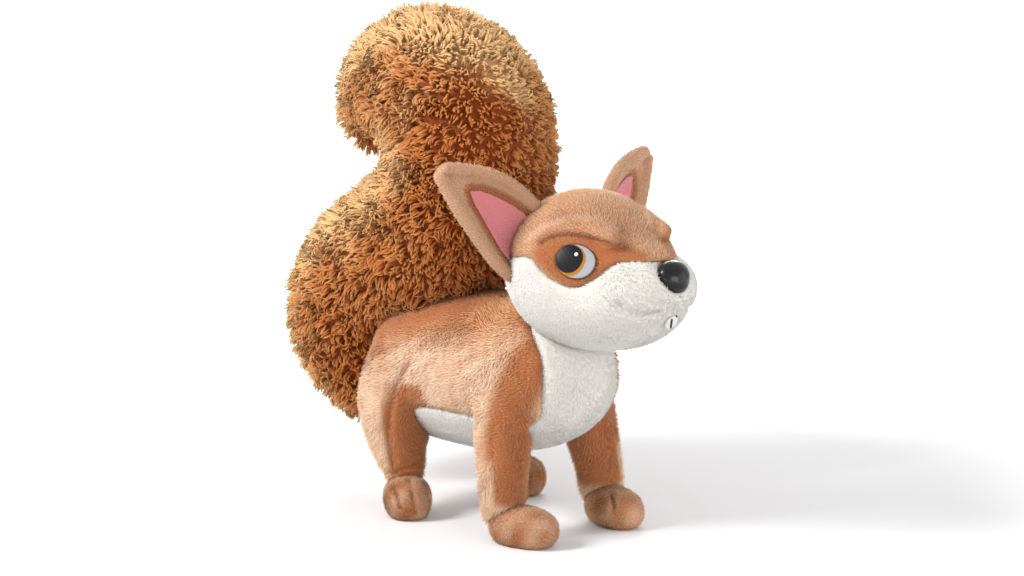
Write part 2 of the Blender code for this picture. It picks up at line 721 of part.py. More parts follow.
def main():
    for obj in list(bpy.data.objects):
        bpy.data.objects.remove(obj)
    parts = make_collection("plush_squirrel")
    cutters = make_collection("cutters")

    crown, face = make_head(parts, cutters)
    back, belly = make_body(parts, cutters)
    head_room = head_form("head_room", cutters, GAP)
    body_room = body_form("body_room", cutters, GAP)
    for panel in (back, belly):
        boolean(panel, head_room)
    nose, washer = make_nose(parts, cutters, (crown, face))
    teeth = surface_patch("teeth", parts, head_direction(*TEETH_PLACE), TEETH_HALF_WIDTH,
                          TEETH_HALF_HEIGHT, TEETH_THICKNESS, head_room)
    eye_across, eye_ahead, eye_above = EYE_PLACE
    for side, name in SIDES:
        ridge_room = tube("brow_room_" + name, cutters, round_ended(ridge_path(side, GAP)), 2)
        ear, lining = make_ear(parts, cutters, side, name)
        for piece in (ear, lining):
            boolean(piece, head_room)
            boolean(piece, ridge_room)
        eye_way = head_direction(side * eye_across, eye_ahead, eye_above)
        eye = surface_patch("eye_" + name, parts, eye_way, EYE_HALF_WIDTH, EYE_HALF_HEIGHT,
                            EYE_THICKNESS, head_room)
        boolean(eye, ridge_room)
        finish(ear, BROWN)
        finish(lining, PINK)
        finish(eye, BLACK, 0.5)
    limbs = make_limbs(parts, cutters, body_room)
    leg_rooms = [tube("rear_leg_room_" + name, cutters, round_ended(rear_leg_path(side, GAP), 2), 4)
                 for side, name in SIDES]
    tail = make_tail(parts, [body_room, head_room] + leg_rooms)

    for obj in [crown, back] + limbs:
        finish(obj, BROWN)
    for obj in (face, belly):
        finish(obj, WHITE)
    finish(teeth, WHITE, 0.8)
    finish(tail, TAIL_BROWN)
    finish(nose, BLACK, 0.15)
    finish(washer, WHITE, 0.4)
    for cutter in cutters.objects:
        cutter.hide_render = True
        cutter.display_type = "WIRE"
    centre_on_ground(parts, cutters)


main()
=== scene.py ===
"""Looks of the plush squirrel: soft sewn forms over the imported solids, with short pile on the body,
long curled pile on the tail, embroidered eyes, a glossy nose, and a pale studio.

Metres, +Z up, facing -Y. Places on the surface are named by pixels of the 1024 x 576 frame, and are
found by a ray from the camera, then mirrored to the other side of the toy.
"""
import math

import bmesh
import bpy
import numpy as np
from mathutils import Matrix, Vector
from mathutils.bvhtree import BVHTree
from mathutils.kdtree import KDTree


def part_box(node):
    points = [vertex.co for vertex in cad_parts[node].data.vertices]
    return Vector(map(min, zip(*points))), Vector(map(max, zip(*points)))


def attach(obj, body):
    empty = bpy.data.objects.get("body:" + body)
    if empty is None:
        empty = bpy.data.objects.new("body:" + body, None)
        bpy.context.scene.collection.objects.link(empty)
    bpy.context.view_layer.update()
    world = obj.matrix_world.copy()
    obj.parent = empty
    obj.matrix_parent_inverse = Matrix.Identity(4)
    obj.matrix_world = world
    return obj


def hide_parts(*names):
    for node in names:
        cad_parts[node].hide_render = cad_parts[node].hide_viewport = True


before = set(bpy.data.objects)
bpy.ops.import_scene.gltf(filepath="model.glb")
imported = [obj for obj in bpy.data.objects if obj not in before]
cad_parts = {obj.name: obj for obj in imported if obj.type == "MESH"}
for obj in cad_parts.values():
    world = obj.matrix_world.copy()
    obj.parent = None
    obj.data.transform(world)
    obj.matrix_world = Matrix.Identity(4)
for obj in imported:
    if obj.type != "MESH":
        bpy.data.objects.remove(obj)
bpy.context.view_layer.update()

# Camera: place, direction, lens, and the frame that the pixels below are counted in
CAMERA_PLACE = Vector((-0.9067, -1.0526, 0.3435))
CAMERA_FORWARD = Vector((0.6523, 0.7430, -0.1495)).normalized()
LENS_MM = 85
SENSOR_MM = 36
FRAME_WIDTH = 1024
FRAME_HEIGHT = 576

# Colours as they show, in sRGB from 0 to 1
# Each pile's root colour is a shaded copy of its fabric, painted shade deep in the pile, and its tip colour
# a lit copy, painted light
BROWN_ROOT = (0.58, 0.36, 0.22)
BROWN_MIDDLE = (0.80, 0.57, 0.39)
BROWN_TIP = (0.92, 0.76, 0.60)
BROWN_NAP = (0.64, 0.38, 0.23)
BROWN_PALE = (0.97, 0.87, 0.76)
# The tail's nap colour is also its painted shade, and its pale colour its painted light
TAIL_ROOT = (0.36, 0.15, 0.05)
TAIL_MIDDLE = (0.76, 0.42, 0.17)
TAIL_TIP = (0.97, 0.71, 0.42)
TAIL_NAP_AND_SHADE = (0.53, 0.24, 0.08)
TAIL_PALE = (0.99, 0.83, 0.60)
WHITE_ROOT = (0.82, 0.80, 0.77)
WHITE_MIDDLE = (0.90, 0.89, 0.87)
WHITE_TIP = (0.92, 0.91, 0.90)
WHITE_NAP = (0.86, 0.84, 0.81)
PINK_ROOT = (0.78, 0.47, 0.48)
PINK_MIDDLE = (0.88, 0.62, 0.63)
PINK_TIP = (0.93, 0.72, 0.73)
PINK_NAP = (0.82, 0.50, 0.52)
PUPIL = (0.06, 0.05, 0.06)
IRIS = (0.66, 0.42, 0.14)
EYE_WHITE = (0.60, 0.61, 0.63)
EYE_BORDER = (0.36, 0.20, 0.11)
GLINT = (0.97, 0.97, 0.97)
NOSE_BLACK = (0.040, 0.035, 0.045)
THREAD = (0.12, 0.11, 0.13)
FELT = (0.83, 0.82, 0.81)
WASHER = (0.85, 0.85, 0.82)
FLOOR = (0.91, 0.91, 0.915)

# Soft forms: voxel size, smoothing passes, and how far the skin moves out afterwards
COAT_VOXEL, COAT_SOFTNESS, COAT_SWELL = 0.0020, 22, 0.0003
HEAD_VOXEL, HEAD_SOFTNESS, HEAD_SWELL = 0.0016, 14, 0.0002
EAR_VOXEL, EAR_SOFTNESS = 0.0011, 6
PAW_VOXEL, PAW_SOFTNESS, PAW_SWELL = 0.0011, 7, -0.0003
TAIL_VOXEL, TAIL_SOFTNESS, TAIL_SWELL = 0.0034, 10, -0.0006
NOSE_VOXEL, NOSE_SOFTNESS, NOSE_SWELL = 0.0005, 6, 0.0002
TEETH_VOXEL, TEETH_SOFTNESS, TEETH_SWELL = 0.0004, 3, 0.0002
LINING_VOXEL, LINING_SOFTNESS, LINING_SWELL = 0.0007, 4, 0.0002
SMOOTH_FACTOR = 0.5
JOIN_OVERLAP = 0.0005
WELD_DISTANCE = 0.00001

# Piles: spacing, length and thickness at the base of their hairs
COAT_PILE = 0.00114, 0.0026, 0.00040
HEAD_PILE = 0.00098, 0.0018, 0.00034
PAW_PILE = 0.00094, 0.0015, 0.00034
EAR_PILE = 0.00094, 0.0012, 0.00030
PINK_PILE = 0.00080, 0.0009, 0.00026
TAIL_SPACING, TAIL_LENGTH, TAIL_WIDTH = 0.0020, 0.0085, 0.00085
TAIL_PIECES = 3

# Pile fabric, by the height along a hair: how soon the root's colour ends and the tip's starts, how
# pale and turned pile mix in, patches, speckles, and the fine relief and finish
ROOT_FADE, TIP_START = 2.0, 0.40
PALE_RISE, PALE_BASE = 0.45, 0.50
NAP_RISE, NAP_BASE = -0.35, 0.90
PATCH_SCALE, TAIL_PATCH_SCALE, PINK_PATCH_SCALE = 34.0, 22.0, 60.0
PATCH_LEVEL, PATCH_CONTRAST, PATCH_NAP = 0.42, 2.4, 0.35
SPECKLE, DEEP_NAP = 0.35, 0.6
FUZZ_SCALE, FUZZ_DEPTH, GRAIN_DETAIL = 1400.0, 0.0004, 3.0
PILE_ROUGHNESS, PILE_GLOSS = 0.88, 0.15
SHEEN, TAIL_SHEEN, SHEEN_ROUGHNESS = 0.30, 1.0, 0.45

# Plain surfaces: how dark their grain gets, and how much of it shows
GRAIN_DARK, GRAIN_SHARE = 0.85, 0.5

# The way each pile lies on its form, and the left ear's, which is mirrored for the right one
COAT_LAY = (0, 0.55, -0.85)
BELLY_LAY = (0, 0.3, -0.9)
CROWN_LAY = (0, 0.9, 0.1)
FACE_LAY = (0, 0.8, -0.45)
PAW_LAY = (0, -0.8, -0.2)
EAR_LAY = (0.7, 0.2, 0.7)
TAIL_LAY = (0, -0.2, -0.8)
STRAY_LAY = 0.25

# Short hairs: how much the nap turns and over what length, the ranges of their length and lean, how
# much a lean lowers them, the depth of their roots, their clearance, and how much of the skin's own
# normals their shading takes
SHORT_TURN, SHORT_TURN_LENGTH = 0.7, 0.035
SHORT_REACH = 0.75, 1.25
SHORT_LEAN = 0.55, 0.95
SHORT_LEAN_LOSS = 0.75
SHORT_SINK = 0.0003
SHORT_CLEARANCE = 0.0004
SHORT_SKIN_SHADING = 0.75

# Locks of the tail: the same, then the share of hairs that start a lock, how far hairs gather into it,
# how much locks and the tail's two faces differ in length, and how hairs rise, lean over and curl
TAIL_TURN, TAIL_TURN_LENGTH = 0.9, 0.024
TAIL_REACH = 0.8, 1.1
TAIL_SINK = 0.0008
TAIL_CLEARANCE = 0.0006
TAIL_SKIN_SHADING = 0.70
LOCK_SHARE = 0.17
LOCK_GATHER, LOCK_GATHER_POWER = 0.60, 1.2
LOCK_REACH, LOCK_REACH_LENGTH, LOCK_REACH_LIMITS = 0.16, 0.007, (0.6, 1.3)
BACK_REACH = 0.42
LOCK_CURL, LOCK_CURL_LENGTH, HAIR_CURL = 0.36, 0.006, 0.16
LOCK_TONE, LOCK_TONE_WAVE, LOCK_TONE_LENGTH, HAIR_TONE = 0.22, 0.3, 0.005, 0.2
HAIR_LEVELS = 4
HAIR_RISE, HAIR_RISE_TURN = 0.95, 0.48
HAIR_OVER, HAIR_OVER_POWER = 0.38, 1.8
HAIR_CURL_TURN = 0.9
HAIR_TAPER = (0.80, 1.0, 0.75)

# Painted shadow on the back's pile near the tail: from where it fades, to where, how ragged that edge is,
# and how dark it gets
TAIL_SHADOW_FROM, TAIL_SHADOW_REACH = 0.005, 0.036
TAIL_SHADOW_RAGGED, TAIL_SHADOW_RAGGED_LENGTH = 0.003, 0.014
TAIL_SHADOW_DARKNESS = 0.48

# Streaks in the coat, and its pale sides: how level the skin may lie before they end
STREAK_STRETCH, STREAK_LENGTH = (1.6, 1, 0.5), 0.007
SIDE_FROM, SIDE_TO = 0.15, 0.70
SIDE_PALE, SIDE_PALE_STREAKS = 0.9, 0.25

# Painted shade on the tail towards its sides (x), its inner bend (y) and its underside (z), and painted
# light over the rest
TAIL_SHADE_SIDES, TAIL_SHADE_BEND, TAIL_SHADE_UNDER = 0.65, 0.55, 0.45
TAIL_SHADE_FROM, TAIL_SHADE_TO = 0.10, 0.75
TAIL_SHADE_WAVE, TAIL_SHADE_LENGTH = 0.10, 0.030
TAIL_SHADE_STRENGTH, TAIL_PAINTED_LIGHT = 0.75, 0.9

# Paws: turned and pale pile, each with its patches
PAW_DARK, PAW_DARK_WAVE, PAW_DARK_LENGTH = 0.12, 0.12, 0.010
PAW_PALE, PAW_PALE_WAVE, PAW_PALE_LENGTH = 0.30, 0.20, 0.012

# Crown: pale overall, with a painted highlight along the brow ridges, by the distance from the brow's line
CROWN_PALE, BROW_HIGHLIGHT, BROW_HIGHLIGHT_WIDTH = 0.30, 0.85, 0.0032

# Ear rims, by the distance from the lining: padding, painted shade in the fold beside the lining, and the
# pale edge, each with the distances over which it changes
RIM_PAD, RIM_PAD_RANGE = 0.0013, (0.0020, 0.0050)
RIM_FOLD, RIM_FOLD_RANGE = 0.4, (0.0010, 0.0026)
RIM_PALE, RIM_PALE_RANGE = 0.45, (0.0020, 0.0060)

# Where a crease's painted shade runs deep, its pile is left out: shade at which hairs start to go, and at
# which all are gone
BARE_FROM, BARE_AT = 0.5, 0.8

# Eye patch, in its own plane: sizes, and places from its middle, towards the nose and up, then heights
# over the head, rings and spokes of its mesh, and the satin stitch
EYE_HALF_WIDTH, EYE_HALF_HEIGHT, EYE_DOME = 0.0118, 0.0097, 0.0014
PUPIL_PLACE, PUPIL_RADIUS = (-0.0036, 0.0004), 0.0076
IRIS_PLACE, IRIS_RADIUS = (-0.0029, -0.0003), 0.0085
GLINT_PLACE, GLINT_RADIUS = (-0.0004, 0.0034), 0.0009
EYE_BORDER_SHARE = 0.94
EYE_LIFT, EYE_STEP, EYE_SUNK = 0.0010, 0.00025, -0.0006
EYE_RINGS, EYE_SPOKES = 18, 64
EYE_EDGE_BLUR = 0.0002
EYE_ROUGHNESS, EYE_SHEEN, EYE_GLOSS = 0.42, 0.03, 0.2
SATIN_SCALE, SATIN_BEND, SATIN_DEPTH, SATIN_STRENGTH = 260.0, 1.5, 0.0001, 0.2

# How far the free lower end of the felt teeth stands off the chin, and how late they bend outwards
TEETH_HANG, TEETH_BEND_POWER = 0.0022, 1.5

# Dark stitches on the teeth: each end as a place across and a share of their height, then the radius
TEETH_STITCHES = (
    ("teeth_stitch", (0.0004, 0.06), (-0.0024, 0.90), 0.00060),
    ("teeth_knot", (0.0014, 0.86), (0.0016, 0.95), 0.00055),
)
STITCH_STEPS = 8
STITCH_LIFT = 0.0002
STITCH_RAY_START = 0.02
THREAD_END_SHARE = 0.5
THREAD_BEVEL_STEPS = 3

# Sewn lines, each through pixels of the frame
LID_CREASE = ((540, 243), (549, 238), (559, 235.5), (569, 235), (578, 236), (593, 240), (608, 245))
BROW_CREASE = ((530, 240), (545, 229), (560, 223), (580, 220), (600, 223), (614, 230))
SMILE_CREASE = ((618, 305), (624, 310), (634, 314.5), (646, 316), (657, 313.5))
MUZZLE_FOLD = ((603, 276), (603, 288), (609, 299), (619, 307))
THIGH_SEAM = ((410, 362), (402, 374), (396, 384), (391, 405), (388, 430), (389, 450), (392, 466))
REAR_ANKLE_CREASE = ((379, 474), (388, 473), (397, 471.5), (406, 468), (414, 464))
REAR_TOE_LINES = (
    ((391, 484), (395, 495), (399, 508)),
    ((409, 479), (412, 494), (415, 514)),
    ((424, 484), (427, 494), (429, 508)),
)
FRONT_TOE_LINE = ((610, 494), (612, 500), (613, 507))

# The same lines: width, depth, and how dark the shade painted into them is, where a depth below 0
# is a padded fold that stands out
LID_SHAPE = 0.0018, 0.0032, 0.95
BROW_SHAPE = 0.0034, -0.0016, 0.0
SMILE_SHAPE = 0.0023, 0.0020, 0.32
MUZZLE_SHAPE = 0.0055, 0.0013, 0.10
THIGH_SHAPE = 0.0020, 0.0022, 0.72
ANKLE_SHAPE = 0.0020, 0.0022, 0.9
TOE_SHAPE = 0.0014, 0.0022, 0.8

# Outlines in the frame, inside which the pile is turned and looks darker
SHOULDER_PATCH = ((546, 340), (547, 373), (539, 394), (532, 410), (534, 426), (536, 441), (530, 449),
                  (530, 462), (486, 462), (485, 436), (491, 410), (497, 384), (510, 357), (528, 338))
THIGH_PATCH = ((400, 384), (420, 385), (428, 410), (430, 431), (428, 452), (424, 470), (391, 476),
               (388, 447), (387, 420), (392, 399))
EYE_MASK = ((540, 246), (552, 240), (580, 238), (603, 242), (628, 247), (648, 256), (640, 266),
            (615, 268), (600, 272), (591, 279), (580, 286), (569, 286), (553, 275), (541, 265), (533, 254))
SHOULDER_BLUR, THIGH_BLUR, MASK_BLUR = 8.0, 3.0, 4.5

# Inner leg panels: their seam by how far the skin faces inwards, the way that counts as inwards, how
# far they reach from the leg's middle and from the toy's, their ends in height, their looks, and the
# depth of their seams with the shade painted into them
PANEL_EDGE = {"left": 0.30, "right": -0.35}
PANEL_EDGE_BLUR, PANEL_SEAM_WIDTH = 0.12, 0.10
INWARD_ACROSS, INWARD_AHEAD = 0.743, 0.652
LEG_REACH, LEG_MIDDLE_INSET, LEG_OWN_SIDE = 0.036, 0.013, 0.004
PANEL_TOP = {"front": 0.078, "rear": 0.080}
PANEL_TOP_FADE = 0.022
PANEL_FOOT = 0.020, 0.026
PANEL_NAP, PANEL_NAP_STREAKS = 0.80, 0.12
PANEL_SEAM_DEPTH, PANEL_SEAM_SHADE = 0.0009, 0.25

# Studio: floor size and cells, the distances over which the floor fades to plain white, the world's
# light, and lamps with their place, size and power, all aimed at one point
FLOOR_SIZE = 30.0
FLOOR_CELLS = 8
GLOW_FROM, GLOW_TO, GLOW_NEAR = 0.30, 0.95, 0.0
WORLD_LIGHT = 0.66
LAMPS = (
    ("key", (-1.35, 0.45, 1.10), 0.6, 31.0),
    ("front", (-0.3, -1.7, 0.16), 1.2, 19.0),
    ("side", (0.9, -1.2, 0.30), 1.2, 5.0),
    ("back", (1.1, 1.0, 0.9), 0.8, 15.0),
)
LAMP_AIM = Vector((0, 0, 0.14))

rng = np.random.default_rng(7)


def camera_axes():
    right = Vector((CAMERA_FORWARD.y, -CAMERA_FORWARD.x, 0)).normalized()
    return right, right.cross(CAMERA_FORWARD)


def pixel_ray(pixel):
    """Direction from the camera through a pixel of the frame."""
    right, up = camera_axes()
    focal = LENS_MM / SENSOR_MM * FRAME_WIDTH
    across = pixel[0] - FRAME_WIDTH / 2
    down = pixel[1] - FRAME_HEIGHT / 2
    return (CAMERA_FORWARD * focal + right * across - up * down).normalized()


def at_pixel(tree, pixel):
    """The first point of a form that a pixel shows, or the form's nearest point to that ray."""
    ray = pixel_ray(pixel)
    place = tree.ray_cast(CAMERA_PLACE, ray)[0]
    if place is None:
        reach = CAMERA_PLACE.length
        place = tree.find_nearest(CAMERA_PLACE + ray * reach)[0]
    return place


def both_sides(tree, pixels):
    """A line through pixels as points on the form, with its mirror image."""
    line = np.array([at_pixel(tree, pixel) for pixel in pixels])
    return [line, line * (-1, 1, 1)]


def line_distance(points, line):
    """Distance from each point to a line of straight stretches."""
    best = np.full(len(points), np.inf)
    for start, end in zip(line[:-1], line[1:]):
        along = end - start
        share = np.clip((points - start) @ along / (along @ along), 0, 1)
        best = np.minimum(best, np.linalg.norm(points - start - share[:, None] * along, axis=1))
    return best


def inside_outline(points, normals, outline, softness):
    """How far points lie within an outline of pixels, from 0 to 1, where they face the camera.

    Points on the far side of the toy are mirrored to the near side first.
    """
    mirror = np.ones(points.shape)
    mirror[points[:, 0] > 0, 0] = -1
    right, up = (np.array(axis) for axis in camera_axes())
    forward = np.array(CAMERA_FORWARD)
    offset = points * mirror - np.array(CAMERA_PLACE)
    reach = LENS_MM / SENSOR_MM * FRAME_WIDTH / (offset @ forward)
    spots = np.stack([FRAME_WIDTH / 2 + offset @ right * reach,
                      FRAME_HEIGHT / 2 - offset @ up * reach], axis=1)
    corners = np.array(outline, float)
    after = np.roll(corners, -1, axis=0)
    inside = np.zeros(len(spots), bool)
    for (x, y), (next_x, next_y) in zip(corners, after):
        if y != next_y:
            crosses = (y > spots[:, 1]) != (next_y > spots[:, 1])
            inside ^= crosses & (spots[:, 0] < x + (spots[:, 1] - y) / (next_y - y) * (next_x - x))
    gap = line_distance(spots, np.vstack([corners, corners[:1]]))
    facing = -(normals * mirror) @ forward
    return smoothstep(np.where(inside, gap, -gap), -softness, softness) * smoothstep(facing, -0.1, 0.1)


def unit(vectors):
    return vectors / np.maximum(np.linalg.norm(vectors, axis=1, keepdims=True), 1e-12)


def waves(points, length, seed, count=7):
    """Smooth noise, mostly between -1.5 and 1.5, with features of about one length."""
    source = np.random.default_rng(seed)
    total = np.zeros(len(points))
    for _ in range(count):
        way = source.normal(size=3)
        way *= 2 * math.pi / (length * np.linalg.norm(way)) * source.uniform(0.7, 1.4)
        total += np.sin(points @ way + source.uniform(0, 2 * math.pi))
    return total / math.sqrt(count)


def smoothstep(values, low, high):
    share = np.clip((values - low) / (high - low), 0, 1)
    return share * share * (3 - 2 * share)


def read(mesh, attribute="co"):
    """Points or vertex normals of a mesh as an array."""
    if attribute == "co":
        source, name = mesh.vertices, "co"
    else:
        source, name = mesh.vertex_normals, "vector"
    values = np.empty(len(source) * 3, np.float32)
    source.foreach_get(name, values)
    return values.reshape(-1, 3).astype(float)


def write_points(mesh, points):
    mesh.vertices.foreach_set("co", points.astype(np.float32).ravel())
    mesh.update()


def write_value(mesh, name, values):
    if name not in mesh.attributes:
        mesh.attributes.new(name, "FLOAT", "POINT")
    mesh.attributes[name].data.foreach_set("value", np.asarray(values, np.float32).ravel())


def tree_of(obj):
    mesh = obj.data
    return BVHTree.FromPolygons([v.co for v in mesh.vertices], [p.vertices for p in mesh.polygons])


def srgb(colour):
    """A colour as it shows, turned to the linear values that a shader takes."""
    linear = [c / 12.92 if c <= 0.04045 else ((c + 0.055) / 1.055) ** 2.4 for c in colour]
    return (*linear, 1.0)


class Nodes:
    """A material's node tree, with short calls to add nodes to it."""

    def __init__(self, name, roughness):
        self.material = bpy.data.materials.new(name)
        self.material.use_nodes = True
        self.tree = self.material.node_tree
        self.shader = self.tree.nodes["Principled BSDF"]
        self.shader.inputs["Roughness"].default_value = roughness

    def put(self, value, socket):
        if isinstance(value, bpy.types.NodeSocket):
            self.tree.links.new(value, socket)
        else:
            socket.default_value = value

    def add(self, kind, **inputs):
        node = self.tree.nodes.new(kind)
        for name, value in inputs.items():
            self.put(value, node.inputs[name])
        return node

    def attribute(self, name):
        node = self.add("ShaderNodeAttribute")
        node.attribute_name = name
        return node.outputs["Fac"]

    def math(self, operation, *values):
        node = self.add("ShaderNodeMath")
        node.operation = operation
        node.use_clamp = True
        for value, socket in zip(values, node.inputs):
            self.put(value, socket)
        return node.outputs[0]

    def mix(self, factor, first, second):
        node = self.add("ShaderNodeMix")
        node.data_type = "RGBA"
        self.put(factor, node.inputs[0])
        self.put(first, node.inputs[6])
        self.put(second, node.inputs[7])
        return node.outputs[2]

    def noise(self, scale, detail=2.0):
        place = self.add("ShaderNodeTexCoord").outputs["Object"]
        node = self.add("ShaderNodeTexNoise", Vector=place, Scale=scale, Detail=detail)
        return node.outputs["Fac"]

    def bump(self, height, distance, strength=0.5):
        node = self.add("ShaderNodeBump", Height=height, Distance=distance, Strength=strength)
        self.tree.links.new(node.outputs["Normal"], self.shader.inputs["Normal"])

    def colour(self, value):
        self.put(value, self.shader.inputs["Base Color"])

    def finish(self, **constants):
        for name, value in constants.items():
            self.shader.inputs[name.replace("_", " ")].default_value = value
        return self.material


def plush(name, root, middle, tip, nap_and_shade, pale, patch_scale=PATCH_SCALE, sheen=SHEEN):
    """Pile fabric: hairs run from a root in painted shade to a tip in painted light,
    with patches where the nap turns.
    """
    nodes = Nodes(name, PILE_ROUGHNESS)
    along = nodes.attribute("along")
    low = nodes.mix(nodes.math("MULTIPLY", along, ROOT_FADE), srgb(root), srgb(middle))
    high = nodes.mix(nodes.math("SUBTRACT", along, TIP_START), low, srgb(tip))
    # Pale pile mixes in by the pale value: paler fabric on the coat's sides, crown, paws and ear rims, and
    # painted light on the tail's back and top and along the brows
    lit = nodes.math("MULTIPLY", nodes.attribute("pale"),
                     nodes.math("MULTIPLY_ADD", along, PALE_RISE, PALE_BASE))
    high = nodes.mix(lit, high, srgb(pale))
    raised = nodes.math("SUBTRACT", nodes.noise(patch_scale), PATCH_LEVEL)
    patches = nodes.math("MULTIPLY", raised, PATCH_CONTRAST)
    # Turned pile and painted shade both come in through this value: shade on the tail's sides and underside,
    # and on the back near the tail
    turned = nodes.math("MAXIMUM", nodes.attribute("nap_and_shade"), nodes.math("MULTIPLY", patches, PATCH_NAP))
    kept = nodes.math("MULTIPLY_ADD", along, NAP_RISE, NAP_BASE)
    base = nodes.mix(nodes.math("MULTIPLY", turned, kept), high, srgb(nap_and_shade))
    speckle = nodes.math("MULTIPLY", nodes.attribute("tone"), SPECKLE)
    # The deep colour darkens single hairs at random, and is the painted shade in creases, in the ear folds
    # and on the back near the tail
    deep = nodes.mix(DEEP_NAP, srgb(root), srgb(nap_and_shade))
    shade = nodes.math("MAXIMUM", speckle, nodes.attribute("shade"))
    nodes.colour(nodes.mix(shade, base, deep))
    nodes.bump(nodes.noise(FUZZ_SCALE, GRAIN_DETAIL), FUZZ_DEPTH)
    return nodes.finish(Sheen_Weight=sheen, Sheen_Roughness=SHEEN_ROUGHNESS, Sheen_Tint=srgb(pale),
                        Specular_IOR_Level=PILE_GLOSS)


def plain(name, colour, roughness, grain_scale, grain_depth, **constants):
    """A plain surface with a fine grain in its colour and relief."""
    nodes = Nodes(name, roughness)
    grain = nodes.noise(grain_scale, GRAIN_DETAIL)
    darker = tuple(c * GRAIN_DARK for c in colour)
    nodes.colour(nodes.mix(nodes.math("MULTIPLY", grain, GRAIN_SHARE), srgb(colour), srgb(darker)))
    nodes.bump(grain, grain_depth)
    return nodes.finish(**constants)


def embroidery():
    """Satin stitch in the eye's colours, from the patch's own coordinates in metres."""
    nodes = Nodes("eye_embroidery", EYE_ROUGHNESS)
    spot = nodes.add("ShaderNodeCombineXYZ", X=nodes.attribute("eye_across"), Y=nodes.attribute("eye_above"))

    def inside(place, radius):
        gap = nodes.add("ShaderNodeVectorMath")
        gap.operation = "DISTANCE"
        nodes.put(spot.outputs[0], gap.inputs[0])
        nodes.put((*place, 0), gap.inputs[1])
        ramp = nodes.add("ShaderNodeMapRange", Value=gap.outputs["Value"])
        nodes.put(radius + EYE_EDGE_BLUR, ramp.inputs["From Min"])
        nodes.put(radius - EYE_EDGE_BLUR, ramp.inputs["From Max"])
        return ramp.outputs["Result"]

    colour = nodes.mix(inside(IRIS_PLACE, IRIS_RADIUS), srgb(EYE_WHITE), srgb(IRIS))
    colour = nodes.mix(inside(PUPIL_PLACE, PUPIL_RADIUS), colour, srgb(PUPIL))
    colour = nodes.mix(inside(GLINT_PLACE, GLINT_RADIUS), colour, srgb(GLINT))
    nodes.colour(nodes.mix(nodes.attribute("eye_edge"), colour, srgb(EYE_BORDER)))
    threads = nodes.add("ShaderNodeTexWave", Scale=SATIN_SCALE, Distortion=SATIN_BEND)
    nodes.put(nodes.add("ShaderNodeTexCoord").outputs["Object"], threads.inputs["Vector"])
    nodes.bump(threads.outputs["Fac"], SATIN_DEPTH, SATIN_STRENGTH)
    return nodes.finish(Sheen_Weight=EYE_SHEEN, Specular_IOR_Level=EYE_GLOSS)


BROWN = plush("brown_plush", BROWN_ROOT, BROWN_MIDDLE, BROWN_TIP, BROWN_NAP, BROWN_PALE)
TAIL = plush("tail_pile", TAIL_ROOT, TAIL_MIDDLE, TAIL_TIP, TAIL_NAP_AND_SHADE, TAIL_PALE, TAIL_PATCH_SCALE,
             TAIL_SHEEN)
WHITE = plush("white_plush", WHITE_ROOT, WHITE_MIDDLE, WHITE_TIP, WHITE_NAP, WHITE_TIP)
PINK = plush("pink_lining", PINK_ROOT, PINK_MIDDLE, PINK_TIP, PINK_NAP, PINK_TIP, PINK_PATCH_SCALE)
EYE = embroidery()
NOSE = plain("nose_plastic", NOSE_BLACK, roughness=0.24, grain_scale=90.0, grain_depth=0.0001,
             Specular_IOR_Level=0.32)
STITCH = plain("dark_thread", THREAD, roughness=0.7, grain_scale=2500.0, grain_depth=0.0001)
FELTED = plain("white_felt", FELT, roughness=0.9, grain_scale=1600.0, grain_depth=0.0003,
               Sheen_Weight=0.2)
WASHER_FINISH = plain("washer_plastic", WASHER, roughness=0.45, grain_scale=300.0, grain_depth=0.0001)


def place_piece(obj, material, nodes=(), parent=None):
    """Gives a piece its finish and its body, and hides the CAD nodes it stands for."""
    obj.data.materials.clear()
    obj.data.materials.append(material)
    if parent is None:
        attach(obj, "root")
    else:
        obj.parent = parent
        obj.matrix_parent_inverse = Matrix.Identity(4)
    if nodes:
        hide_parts(*nodes)
    return obj


def form(name, nodes, voxel, softness, swell=0.0):
    """A smooth closed form made from CAD nodes: joined, remeshed, softened, then moved out a little."""
    bm = bmesh.new()
    for node in nodes:
        bm.from_mesh(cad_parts[node].data)
    bmesh.ops.remove_doubles(bm, verts=bm.verts, dist=WELD_DISTANCE)
    if len(nodes) > 1:
        bm.normal_update()
        for vert in bm.verts:
            vert.co += vert.normal * JOIN_OVERLAP
    mesh = bpy.data.meshes.new(name + "_source")
    bm.to_mesh(mesh)
    bm.free()
    source = bpy.data.objects.new(name + "_source", mesh)
    bpy.context.scene.collection.objects.link(source)
    remesh = source.modifiers.new("remesh", "REMESH")
    remesh.mode = "VOXEL"
    remesh.voxel_size = voxel
    smooth = source.modifiers.new("smooth", "SMOOTH")
    smooth.factor = SMOOTH_FACTOR
    smooth.iterations = softness
    bpy.context.view_layer.update()
    evaluated = source.evaluated_get(bpy.context.evaluated_depsgraph_get())
    result = bpy.data.meshes.new_from_object(evaluated)
    bpy.data.objects.remove(source)
    result.name = name
    result.shade_smooth()
    obj = bpy.data.objects.new(name, result)
    bpy.context.scene.collection.objects.link(obj)
    shift(obj, swell)
    return obj


def shift(obj, amount):
    """Moves the points of a form out along their normals, and keeps them above the ground."""
    points = read(obj.data) + read(obj.data, "normal") * np.reshape(amount, (-1, 1))
    points[:, 2] = np.maximum(points[:, 2], 0)
    write_points(obj.data, points)


def crease(obj, lines, width, depth, shade):
    """Pulls a form in along sewn lines, and paints shade into it there."""
    points = read(obj.data)
    near = np.zeros(len(points))
    for line in lines:
        near = np.maximum(near, np.exp(-(line_distance(points, line) / width) ** 2))
    shift(obj, -depth * near)
    add_value(obj, "shade", near * shade)


def add_value(obj, name, values):
    """Raises a value that a form's material reads, where the new one is higher."""
    old = np.zeros(len(obj.data.vertices), np.float32)
    if name in obj.data.attributes:
        obj.data.attributes[name].data.foreach_get("value", old)
    write_value(obj.data, name, np.maximum(old, values))


